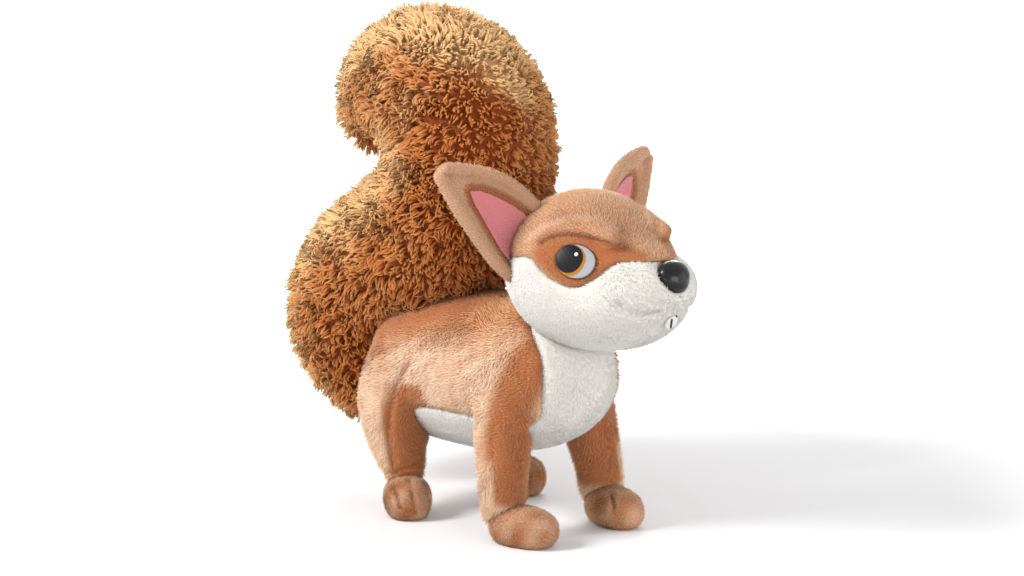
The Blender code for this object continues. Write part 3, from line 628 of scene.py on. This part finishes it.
def scatter(obj, spacing):
    """Even points over a form with their normals, and the values that its points carry."""
    mesh = obj.data
    mesh.calc_loop_triangles()
    corners = np.empty(len(mesh.loop_triangles) * 3, np.int32)
    mesh.loop_triangles.foreach_get("vertices", corners)
    corners = corners.reshape(-1, 3)
    points, normals = read(mesh), read(mesh, "normal")
    a, b, c = (points[corners[:, i]] for i in range(3))
    area = np.linalg.norm(np.cross(b - a, c - a), axis=1) / 2
    count = int(area.sum() / spacing**2)
    edges = np.cumsum(area) / area.sum()
    picks = np.searchsorted(edges, (np.arange(count) + rng.random(count)) / count)
    picks = np.minimum(picks, len(corners) - 1)
    first = np.sqrt(rng.random(count))
    second = rng.random(count)
    weights = np.stack([1 - first, first * (1 - second), first * second], axis=1)

    def blend(values):
        shares = weights[:, :, None] if values.ndim == 2 else weights
        return (values[corners[picks]] * shares).sum(axis=1)

    carried = {}
    for name in ("shade", "nap_and_shade", "pale"):
        values = np.zeros(len(points), np.float32)
        if name in mesh.attributes:
            mesh.attributes[name].data.foreach_get("value", values)
        carried[name] = blend(values.astype(float))
    return blend(points), unit(blend(normals)), carried


def clear_of(points, blockers, margin):
    """Which points lie outside every blocker by a margin."""
    clear = np.ones(len(points), bool)
    for tree, low, high in blockers:
        near = np.all((points > low - margin) & (points < high + margin), axis=1) & clear
        for i in np.nonzero(near)[0]:
            place, normal, _, distance = tree.find_nearest(Vector(points[i]))
            inside = (Vector(points[i]) - place).dot(normal) < 0
            if inside or distance < margin:
                clear[i] = False
    return clear


def blocker(obj):
    points = read(obj.data)
    return tree_of(obj), points.min(axis=0), points.max(axis=0)


def strand_mesh(name, centres, radii, out, side, soft_normal, values):
    """Tapered three-sided hairs: rings of three points along each, then one point at the tip."""
    count, levels, _ = centres.shape
    rings = []
    for level in range(levels - 1):
        for corner in range(3):
            angle = 2 * math.pi * corner / 3
            offset = math.cos(angle) * side + math.sin(angle) * out
            rings.append(centres[:, level] + offset * radii[level])
    rings.append(centres[:, -1])
    points = np.stack(rings, axis=1)
    per_hair = points.shape[1]
    template = []
    for level in range(levels - 2):
        for corner in range(3):
            a = level * 3 + corner
            b = level * 3 + (corner + 1) % 3
            template += [(a, b, b + 3), (a, b + 3, a + 3)]
    last = (levels - 2) * 3
    for corner in range(3):
        template.append((last + corner, last + (corner + 1) % 3, per_hair - 1))
    template = np.array(template)
    faces = (template[None] + np.arange(count)[:, None, None] * per_hair).reshape(-1, 3)

    points = points.reshape(-1, 3)
    points[:, 2] = np.maximum(points[:, 2], 0)
    mesh = bpy.data.meshes.new(name)
    mesh.vertices.add(len(points))
    mesh.loops.add(len(faces) * 3)
    mesh.polygons.add(len(faces))
    mesh.vertices.foreach_set("co", points.astype(np.float32).ravel())
    mesh.loops.foreach_set("vertex_index", faces.astype(np.int32).ravel())
    mesh.polygons.foreach_set("loop_start", np.arange(0, len(faces) * 3, 3, dtype=np.int32))
    mesh.update(calc_edges=True)
    mesh.shade_smooth()
    rounded = read(mesh, "normal")
    blended = unit(rounded * (1 - soft_normal[1]) + np.repeat(soft_normal[0], per_hair, axis=0)
                   * soft_normal[1])
    mesh.normals_split_custom_set_from_vertices(blended.astype(np.float32))

    heights = np.repeat(np.linspace(0, 1, levels)[:-1], 3).tolist() + [1.0]
    write_value(mesh, "along", np.tile(heights, count))
    for key, per_strand in values.items():
        write_value(mesh, key, np.repeat(per_strand, per_hair))
    obj = bpy.data.objects.new(name, mesh)
    bpy.context.scene.collection.objects.link(obj)
    return obj


def comb(points, normals, flow, unrest, length, seed):
    """Direction along the skin in which the pile lies, turned here and there."""
    way = np.tile(np.array(flow, float), (len(points), 1))
    for axis in range(3):
        way[:, axis] += unrest * waves(points, length, seed + axis)
    way += rng.normal(scale=STRAY_LAY, size=way.shape)
    way -= (way * normals).sum(axis=1, keepdims=True) * normals
    return unit(way)


def kept_hairs(base, spacing, length, blockers, margin):
    """Roots of the hairs over a form that stay clear of other pieces and of bare creases."""
    points, normals, carried = scatter(base, spacing)
    keep = clear_of(points + normals * length * 0.4, blockers, margin)
    keep &= rng.random(len(points)) > smoothstep(carried["shade"], BARE_FROM, BARE_AT)
    return points[keep], normals[keep], {key: value[keep] for key, value in carried.items()}


def short_pile(base, material, blockers, flow, pile):
    """Short straight hairs over a form, leaning with the nap."""
    spacing, length, width = pile
    points, normals, carried = kept_hairs(base, spacing, length, blockers, SHORT_CLEARANCE)
    way = comb(points, normals, flow, SHORT_TURN, SHORT_TURN_LENGTH, 11)
    reach = length * rng.uniform(*SHORT_REACH, len(points))[:, None]
    lean = rng.uniform(*SHORT_LEAN, len(points))[:, None]
    rise = np.sqrt(1 - SHORT_LEAN_LOSS * lean**2)
    roots = points - normals * SHORT_SINK
    tips = points + normals * reach * rise + way * reach * lean
    side = np.cross(normals, way)
    direction = unit(normals * rise + way * lean)
    carried["tone"] = rng.random(len(points)) ** 2
    hairs = strand_mesh(base.name + "_pile", np.stack([roots, tips], axis=1), [width],
                        np.cross(direction, side), side, (normals, SHORT_SKIN_SHADING), carried)
    place_piece(hairs, material, parent=base)


def lock_middles(points):
    """For each hair the root of the lock that it leans into."""
    picks = rng.choice(len(points), int(len(points) * LOCK_SHARE), replace=False)
    tree = KDTree(len(picks))
    for i, pick in enumerate(picks):
        tree.insert(Vector(points[pick]), i)
    tree.balance()
    nearest = [tree.find(Vector(point))[1] for point in points]
    return points[picks[nearest]]


def tail_tufts(base, blockers):
    """Long curled locks over the tail, in a few pieces."""
    points, normals, carried = kept_hairs(base, TAIL_SPACING, TAIL_LENGTH, blockers, TAIL_CLEARANCE)
    count = len(points)
    way = comb(points, normals, TAIL_LAY, TAIL_TURN, TAIL_TURN_LENGTH, 23)
    side = np.cross(normals, way)
    middles = lock_middles(points)
    gather = middles - points
    gather -= (gather * normals).sum(axis=1, keepdims=True) * normals
    share = np.clip(1 + LOCK_REACH * waves(middles, LOCK_REACH_LENGTH, 51), *LOCK_REACH_LIMITS)
    share *= 1 + BACK_REACH * normals[:, 1]
    reach = (TAIL_LENGTH * share * rng.uniform(*TAIL_REACH, count))[:, None]
    curl = (LOCK_CURL * waves(middles, LOCK_CURL_LENGTH, 61) + rng.normal(0, HAIR_CURL, count))[:, None]
    centres = []
    for level in range(HAIR_LEVELS):
        t = level / (HAIR_LEVELS - 1)
        up = HAIR_RISE * math.sin(t * math.pi * HAIR_RISE_TURN)
        over = HAIR_OVER * t**HAIR_OVER_POWER
        bend = curl * math.sin(t * math.pi * HAIR_CURL_TURN)
        centres.append(points - normals * TAIL_SINK + gather * LOCK_GATHER * t**LOCK_GATHER_POWER
                       + reach * (normals * up + way * over + side * bend))
    centres = np.stack(centres, axis=1)
    direction = unit(centres[:, 2] - centres[:, 0])
    tone = LOCK_TONE + LOCK_TONE_WAVE * waves(middles, LOCK_TONE_LENGTH, 71)
    carried["tone"] = np.clip(tone + rng.normal(0, HAIR_TONE, count), 0, 1)
    radii = [TAIL_WIDTH * share_of_width for share_of_width in HAIR_TAPER]
    out = np.cross(direction, side)
    for number in range(TAIL_PIECES):
        part = slice(number, None, TAIL_PIECES)
        tufts = strand_mesh(f"tail_tufts_{number + 1}", centres[part], radii, out[part], side[part],
                            (normals[part], TAIL_SKIN_SHADING), {k: v[part] for k, v in carried.items()})
        place_piece(tufts, TAIL, parent=base)


def leg_nap(points, normals):
    """How far the coat's pile is turned, which looks darker, and where the leg panels' seams run."""
    turned = inside_outline(points, normals, SHOULDER_PATCH, SHOULDER_BLUR)
    turned = np.maximum(turned, inside_outline(points, normals, THIGH_PATCH, THIGH_BLUR))
    seam = np.zeros(len(points))
    for end, top in PANEL_TOP.items():
        for side, name in ((1, "left"), (-1, "right")):
            node = f"{end}_paw_{name}"
            low, high = (np.array(corner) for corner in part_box(node))
            middle = (low + high) / 2
            middle[1] = high[1] - LEG_MIDDLE_INSET
            near = np.linalg.norm((points - middle)[:, :2], axis=1) < LEG_REACH
            inward = -side * INWARD_ACROSS * normals[:, 0] - INWARD_AHEAD * normals[:, 1]
            height = 1 - smoothstep(points[:, 2], top - PANEL_TOP_FADE, top)
            above_paw = smoothstep(points[:, 2], *PANEL_FOOT)
            own_side = side * points[:, 0] > LEG_OWN_SIDE
            zone = near * own_side * height * above_paw
            edge = PANEL_EDGE[name]
            inner = smoothstep(inward, edge - PANEL_EDGE_BLUR, edge + PANEL_EDGE_BLUR)
            turned = np.maximum(turned, zone * inner)
            seam = np.maximum(seam, zone * np.exp(-((inward - edge) / PANEL_SEAM_WIDTH) ** 2))
    return turned, seam


def make_coat(tail):
    nodes = ["back_panel"] + [f"{end}_leg_{side}" for end in ("front", "rear")
                              for side in ("left", "right")]
    coat = form("coat", nodes, COAT_VOXEL, COAT_SOFTNESS, COAT_SWELL)
    tree = tree_of(coat)
    points, normals = read(coat.data), read(coat.data, "normal")
    turned, seam = leg_nap(points, normals)
    # Painted shadow on the back near the tail, as turned pile and as shade, with no pale pile under it
    tail_tree = tree_of(tail)
    gap = np.array([tail_tree.find_nearest(Vector(point))[3] for point in points])
    ragged = gap + TAIL_SHADOW_RAGGED * waves(points, TAIL_SHADOW_RAGGED_LENGTH, 83)
    tail_shadow = 1 - smoothstep(ragged, TAIL_SHADOW_FROM, TAIL_SHADOW_REACH)
    streaks = waves(points * STREAK_STRETCH, STREAK_LENGTH, 85)
    add_value(coat, "nap_and_shade", np.maximum(turned * (PANEL_NAP + PANEL_NAP_STREAKS * streaks), tail_shadow))
    add_value(coat, "shade", TAIL_SHADOW_DARKNESS * tail_shadow)
    side_on = 1 - smoothstep(normals[:, 2], SIDE_FROM, SIDE_TO)
    pale = np.clip(side_on * (SIDE_PALE + SIDE_PALE_STREAKS * streaks), 0, 1)
    add_value(coat, "pale", pale * (1 - turned) * (1 - tail_shadow))
    # The panel seams are pulled in with painted shade, as are the thigh seam and the ankle crease below
    shift(coat, -PANEL_SEAM_DEPTH * seam)
    add_value(coat, "shade", seam * PANEL_SEAM_SHADE)
    crease(coat, both_sides(tree, THIGH_SEAM), *THIGH_SHAPE)
    crease(coat, both_sides(tree, REAR_ANKLE_CREASE), *ANKLE_SHAPE)
    return place_piece(coat, BROWN, nodes)


def make_head():
    crown = form("crown", ["head_crown"], HEAD_VOXEL, HEAD_SOFTNESS, HEAD_SWELL)
    tree = tree_of(crown)
    crease(crown, both_sides(tree, BROW_CREASE), *BROW_SHAPE)
    crease(crown, both_sides(tree, LID_CREASE), *LID_SHAPE)
    points, normals = read(crown.data), read(crown.data, "normal")
    mask = inside_outline(points, normals, EYE_MASK, MASK_BLUR)
    # A painted highlight along the brow ridges
    brow = np.zeros(len(points))
    for line in both_sides(tree, BROW_CREASE):
        brow = np.maximum(brow, np.exp(-(line_distance(points, line) / BROW_HIGHLIGHT_WIDTH) ** 2))
    add_value(crown, "nap_and_shade", mask)
    add_value(crown, "pale", np.maximum(CROWN_PALE, BROW_HIGHLIGHT * brow) * (1 - mask))
    face = form("face", ["face_panel"], HEAD_VOXEL, HEAD_SOFTNESS, HEAD_SWELL)
    face_tree = tree_of(face)
    crease(face, both_sides(face_tree, SMILE_CREASE), *SMILE_SHAPE)
    crease(face, both_sides(face_tree, MUZZLE_FOLD), *MUZZLE_SHAPE)
    for obj, material, slot, node in ((crown, BROWN, "brown_plush", "head_crown"),
                                      (face, WHITE, "white_plush", "face_panel")):
        place_piece(obj, material, [node])
    return crown, face


def make_ear(side):
    """The ear with its rim padded where the pink lining doesn't reach."""
    lining_node = f"ear_lining_{side}"
    lining = form(f"lining_{side}", [lining_node], LINING_VOXEL, LINING_SOFTNESS, LINING_SWELL)
    ear = form(f"ear_{side}_form", [f"ear_{side}"], EAR_VOXEL, EAR_SOFTNESS)
    tree = tree_of(lining)
    away = np.array([tree.find_nearest(Vector(point))[3] for point in read(ear.data)])
    shift(ear, RIM_PAD * smoothstep(away, *RIM_PAD_RANGE))
    # Painted shade in the fold beside the lining
    add_value(ear, "shade", RIM_FOLD * (1 - smoothstep(away, *RIM_FOLD_RANGE)))
    add_value(ear, "pale", RIM_PALE * smoothstep(away, *RIM_PALE_RANGE))
    place_piece(ear, BROWN, [f"ear_{side}"])
    place_piece(lining, PINK, [lining_node])
    return ear, lining


def make_eye(side, crown):
    """An embroidered patch on the head, domed, in which the iris and the pupil each stand higher."""
    low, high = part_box(f"eye_{side}")
    tree = tree_of(crown)
    centre, out = tree.find_nearest((low + high) / 2)[:2]
    ahead = Vector((0, -1, 0))
    ahead = (ahead - out * ahead.dot(out)).normalized()
    above = out.cross(ahead) * (1 if out.cross(ahead).z > 0 else -1)
    rings, spokes = EYE_RINGS, EYE_SPOKES
    spots = [(0.0, 0.0, 0.0)]
    for ring in range(1, rings + 1):
        for spoke in range(spokes):
            angle = 2 * math.pi * spoke / spokes
            spots.append((math.cos(angle) * ring / rings, math.sin(angle) * ring / rings, ring / rings))
    bm = bmesh.new()
    across_values, above_values, edge_values = [], [], []

    def add_spot(a, b, height, edge):
        place = centre + ahead * a + above * b
        surface, normal = tree.find_nearest(place)[:2]
        across_values.append(a)
        above_values.append(b)
        edge_values.append(edge)
        return bm.verts.new(surface + normal * height)

    top = []
    for x, y, radius in spots:
        a, b = x * EYE_HALF_WIDTH, y * EYE_HALF_HEIGHT
        height = EYE_LIFT + EYE_DOME * math.sqrt(max(1 - radius**2, 0))
        for place, reach in ((IRIS_PLACE, IRIS_RADIUS), (PUPIL_PLACE, PUPIL_RADIUS)):
            if math.hypot(a - place[0], b - place[1]) < reach:
                height += EYE_STEP
        top.append(add_spot(a, b, height, 1.0 if radius > EYE_BORDER_SHARE else 0.0))
    rim = [add_spot(x * EYE_HALF_WIDTH, y * EYE_HALF_HEIGHT, EYE_SUNK, 1.0)
           for x, y, _ in spots[-spokes:]]
    middle = add_spot(0, 0, EYE_SUNK, 1.0)
    for spoke in range(spokes):
        after = (spoke + 1) % spokes
        bm.faces.new((top[0], top[1 + spoke], top[1 + after]))
        for ring in range(rings - 1):
            low_row, high_row = 1 + ring * spokes, 1 + (ring + 1) * spokes
            bm.faces.new((top[low_row + spoke], top[high_row + spoke], top[high_row + after],
                          top[low_row + after]))
        last = 1 + (rings - 1) * spokes
        bm.faces.new((top[last + spoke], rim[spoke], rim[after], top[last + after]))
        bm.faces.new((rim[spoke], middle, rim[after]))
    bmesh.ops.recalc_face_normals(bm, faces=bm.faces)
    mesh = bpy.data.meshes.new(f"embroidered_eye_{side}")
    bm.to_mesh(mesh)
    bm.free()
    mesh.shade_smooth()
    write_value(mesh, "eye_across", across_values)
    write_value(mesh, "eye_above", above_values)
    write_value(mesh, "eye_edge", edge_values)
    eye = bpy.data.objects.new(mesh.name, mesh)
    bpy.context.scene.collection.objects.link(eye)
    return place_piece(eye, EYE, [f"eye_{side}"])


def make_tube(name, line, radius):
    """A thread along a line of points, with tapered ends."""
    curve = bpy.data.curves.new(name, "CURVE")
    curve.dimensions = "3D"
    curve.bevel_depth = radius
    curve.bevel_resolution = THREAD_BEVEL_STEPS
    curve.use_fill_caps = True
    spline = curve.splines.new("POLY")
    spline.points.add(len(line) - 1)
    for i, (point, place) in enumerate(zip(spline.points, line)):
        point.co = (*place, 1)
        point.radius = THREAD_END_SHARE if i in (0, len(line) - 1) else 1.0
    holder = bpy.data.objects.new(name, curve)
    bpy.context.scene.collection.objects.link(holder)
    bpy.context.view_layer.update()
    evaluated = holder.evaluated_get(bpy.context.evaluated_depsgraph_get())
    mesh = bpy.data.meshes.new_from_object(evaluated)
    mesh.name = name
    mesh.shade_smooth()
    bpy.data.objects.remove(holder)
    obj = bpy.data.objects.new(name, mesh)
    bpy.context.scene.collection.objects.link(obj)
    return obj


def make_muzzle():
    """The nose, and the felt teeth with their stitches, which lie on the felt's front."""
    nose = form("nose_form", ["nose"], NOSE_VOXEL, NOSE_SOFTNESS, NOSE_SWELL)
    place_piece(nose, NOSE, ["nose"])
    teeth = form("teeth_form", ["teeth"], TEETH_VOXEL, TEETH_SOFTNESS, TEETH_SWELL)
    low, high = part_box("teeth")
    points = read(teeth.data)
    below = np.clip((high.z - points[:, 2]) / (high.z - low.z), 0, 1)
    points[:, 1] -= TEETH_HANG * below**TEETH_BEND_POWER
    write_points(teeth.data, points)
    place_piece(teeth, FELTED, ["teeth"])
    tree = tree_of(teeth)
    for name, start, end, radius in TEETH_STITCHES:
        line = []
        for step in range(STITCH_STEPS + 1):
            across, share = Vector(start).lerp(Vector(end), step / STITCH_STEPS)
            spot = Vector((across, low.y - STITCH_RAY_START, low.z + (high.z - low.z) * share))
            place = tree.ray_cast(spot, Vector((0, 1, 0)))[0]
            if place is not None:
                line.append(place - Vector((0, STITCH_LIFT, 0)))
        place_piece(make_tube(name, line, radius), STITCH, parent=teeth)
    return nose, teeth


def make_paw(end, side):
    paw = form(f"{end}_{side}_paw", [f"{end}_paw_{side}"], PAW_VOXEL, PAW_SOFTNESS, PAW_SWELL)
    points = read(paw.data)
    add_value(paw, "nap_and_shade", PAW_DARK + PAW_DARK_WAVE * waves(points, PAW_DARK_LENGTH, 87))
    add_value(paw, "pale", PAW_PALE + PAW_PALE_WAVE * waves(points, PAW_PALE_LENGTH, 89))
    return place_piece(paw, BROWN, [f"{end}_paw_{side}"])


def stitch_paws(paws):
    """Toe lines on all paws, taken from the two paws that show them."""
    rear = tree_of(paws["rear", "right"])
    lines = [np.array([at_pixel(rear, pixel) for pixel in line]) for line in REAR_TOE_LINES]
    crease(paws["rear", "right"], lines, *TOE_SHAPE)
    crease(paws["rear", "left"], [line * (-1, 1, 1) for line in lines], *TOE_SHAPE)
    front = tree_of(paws["front", "left"])
    line = np.array([at_pixel(front, pixel) for pixel in FRONT_TOE_LINE])
    crease(paws["front", "left"], [line], *TOE_SHAPE)
    crease(paws["front", "right"], [line * (-1, 1, 1)], *TOE_SHAPE)


def make_tail():
    """The tail's form, with painted shade to its sides, inner bend and underside, and painted light over its
    back and top.
    """
    tail = form("tail_form", ["tail"], TAIL_VOXEL, TAIL_SOFTNESS, TAIL_SWELL)
    points, normals = read(tail.data), read(tail.data, "normal")
    inner = (TAIL_SHADE_SIDES * np.abs(normals[:, 0]) - TAIL_SHADE_BEND * normals[:, 1]
             - TAIL_SHADE_UNDER * normals[:, 2])
    patches = TAIL_SHADE_WAVE * waves(points, TAIL_SHADE_LENGTH, 91)
    dark = smoothstep(inner + patches, TAIL_SHADE_FROM, TAIL_SHADE_TO)
    # Painted shade goes in as turned pile, painted light as pale pile
    add_value(tail, "nap_and_shade", TAIL_SHADE_STRENGTH * dark)
    add_value(tail, "pale", TAIL_PAINTED_LIGHT * (1 - dark))
    return place_piece(tail, TAIL, ["tail"])


def seen_ray(tree):
    """1 for rays from the camera, or that a gloss or a clear thing sent on, and 0 for other rays."""
    paths = tree.nodes.new("ShaderNodeLightPath")
    seen = paths.outputs["Is Camera Ray"]
    for kind in ("Is Glossy Ray", "Is Transmission Ray"):
        either = tree.nodes.new("ShaderNodeMath")
        either.operation = "MAXIMUM"
        tree.links.new(seen, either.inputs[0])
        tree.links.new(paths.outputs[kind], either.inputs[1])
        seen = either.outputs[0]
    return seen


def studio():
    """A floor that keeps the shadow and fades to white, a white world, a key from the picture's left,
    and three softer lamps around."""
    bpy.ops.mesh.primitive_grid_add(size=FLOOR_SIZE, x_subdivisions=FLOOR_CELLS,
                                    y_subdivisions=FLOOR_CELLS)
    floor = bpy.context.object
    floor.name = "studio_floor"
    nodes = Nodes("studio_floor", 1.0)
    nodes.colour(srgb(FLOOR))
    place = nodes.add("ShaderNodeTexCoord").outputs["Object"]
    away = nodes.add("ShaderNodeVectorMath")
    away.operation = "LENGTH"
    nodes.put(place, away.inputs[0])
    fade = nodes.add("ShaderNodeMapRange", Value=away.outputs["Value"])
    for name, value in (("From Min", GLOW_FROM), ("From Max", GLOW_TO), ("To Min", GLOW_NEAR),
                        ("To Max", 1.0)):
        nodes.put(value, fade.inputs[name])
    glow = nodes.add("ShaderNodeEmission", Color=(1, 1, 1, 1), Strength=fade.outputs["Result"])
    lit = nodes.add("ShaderNodeAddShader")
    pick = nodes.add("ShaderNodeMixShader")
    output = nodes.tree.nodes["Material Output"]
    nodes.tree.links.new(nodes.shader.outputs[0], lit.inputs[0])
    nodes.tree.links.new(glow.outputs[0], lit.inputs[1])
    nodes.tree.links.new(seen_ray(nodes.tree), pick.inputs[0])
    nodes.tree.links.new(nodes.shader.outputs[0], pick.inputs[1])
    nodes.tree.links.new(lit.outputs[0], pick.inputs[2])
    nodes.tree.links.new(pick.outputs[0], output.inputs["Surface"])
    floor.data.materials.append(nodes.finish(Specular_IOR_Level=0.0))

    world = bpy.data.worlds.new("studio_world")
    bpy.context.scene.world = world
    world.use_nodes = True
    tree = world.node_tree
    background = tree.nodes["Background"]
    background.inputs["Color"].default_value = (1, 1, 1, 1)
    strength = tree.nodes.new("ShaderNodeMapRange")
    strength.inputs["To Min"].default_value = WORLD_LIGHT
    strength.inputs["To Max"].default_value = 1.0
    tree.links.new(seen_ray(tree), strength.inputs["Value"])
    tree.links.new(strength.outputs["Result"], background.inputs["Strength"])

    for name, place, size, energy in LAMPS:
        place = Vector(place)
        lamp = bpy.data.objects.new(name, bpy.data.lights.new(name, "AREA"))
        lamp.data.size = size
        lamp.data.energy = energy
        lamp.location = place
        lamp.rotation_euler = (LAMP_AIM - place).to_track_quat("-Z", "Y").to_euler()
        bpy.context.scene.collection.objects.link(lamp)


def make_camera():
    camera = bpy.data.objects.new("camera", bpy.data.cameras.new("camera"))
    camera.data.lens = LENS_MM
    camera.data.sensor_width = SENSOR_MM
    right, up = camera_axes()
    turn = Matrix((right, up, -CAMERA_FORWARD)).transposed().to_4x4()
    camera.matrix_world = Matrix.Translation(CAMERA_PLACE) @ turn
    bpy.context.scene.collection.objects.link(camera)
    bpy.context.scene.camera = camera


def main():
    make_camera()
    tail = make_tail()
    coat = make_coat(tail)
    belly = form("belly", ["belly_panel"], HEAD_VOXEL, HEAD_SOFTNESS, HEAD_SWELL)
    place_piece(belly, WHITE, ["belly_panel"])
    crown, face = make_head()
    ears = {side: make_ear(side) for side in ("left", "right")}
    eyes = [make_eye(side, crown) for side in ("left", "right")]
    nose, teeth = make_muzzle()
    paws = {(end, side): make_paw(end, side) for end in ("front", "rear") for side in ("left", "right")}
    stitch_paws(paws)
    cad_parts["nose_washer"].data.materials.clear()
    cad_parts["nose_washer"].data.materials.append(WASHER_FINISH)

    solids = {obj.name: blocker(obj) for obj in [coat, belly, crown, face, nose, teeth, tail]
              + eyes + [piece for pair in ears.values() for piece in pair] + list(paws.values())}

    def others(*own):
        return [solids[name] for name in solids if name not in own]

    short_pile(coat, BROWN, others("coat"), COAT_LAY, COAT_PILE)
    short_pile(belly, WHITE, others("belly"), BELLY_LAY, HEAD_PILE)
    short_pile(crown, BROWN, others("crown"), CROWN_LAY, HEAD_PILE)
    short_pile(face, WHITE, others("face"), FACE_LAY, HEAD_PILE)
    for paw in paws.values():
        short_pile(paw, BROWN, others(paw.name), PAW_LAY, PAW_PILE)
    for side, (ear, lining) in ears.items():
        across, back, up = EAR_LAY
        towards_tip = (across if side == "left" else -across, back, up)
        short_pile(ear, BROWN, others(ear.name), towards_tip, EAR_PILE)
        short_pile(lining, PINK, others(lining.name), towards_tip, PINK_PILE)
    tail_tufts(tail, others("tail_form"))
    studio()
    bpy.context.scene.view_settings.view_transform = "Standard"


main()
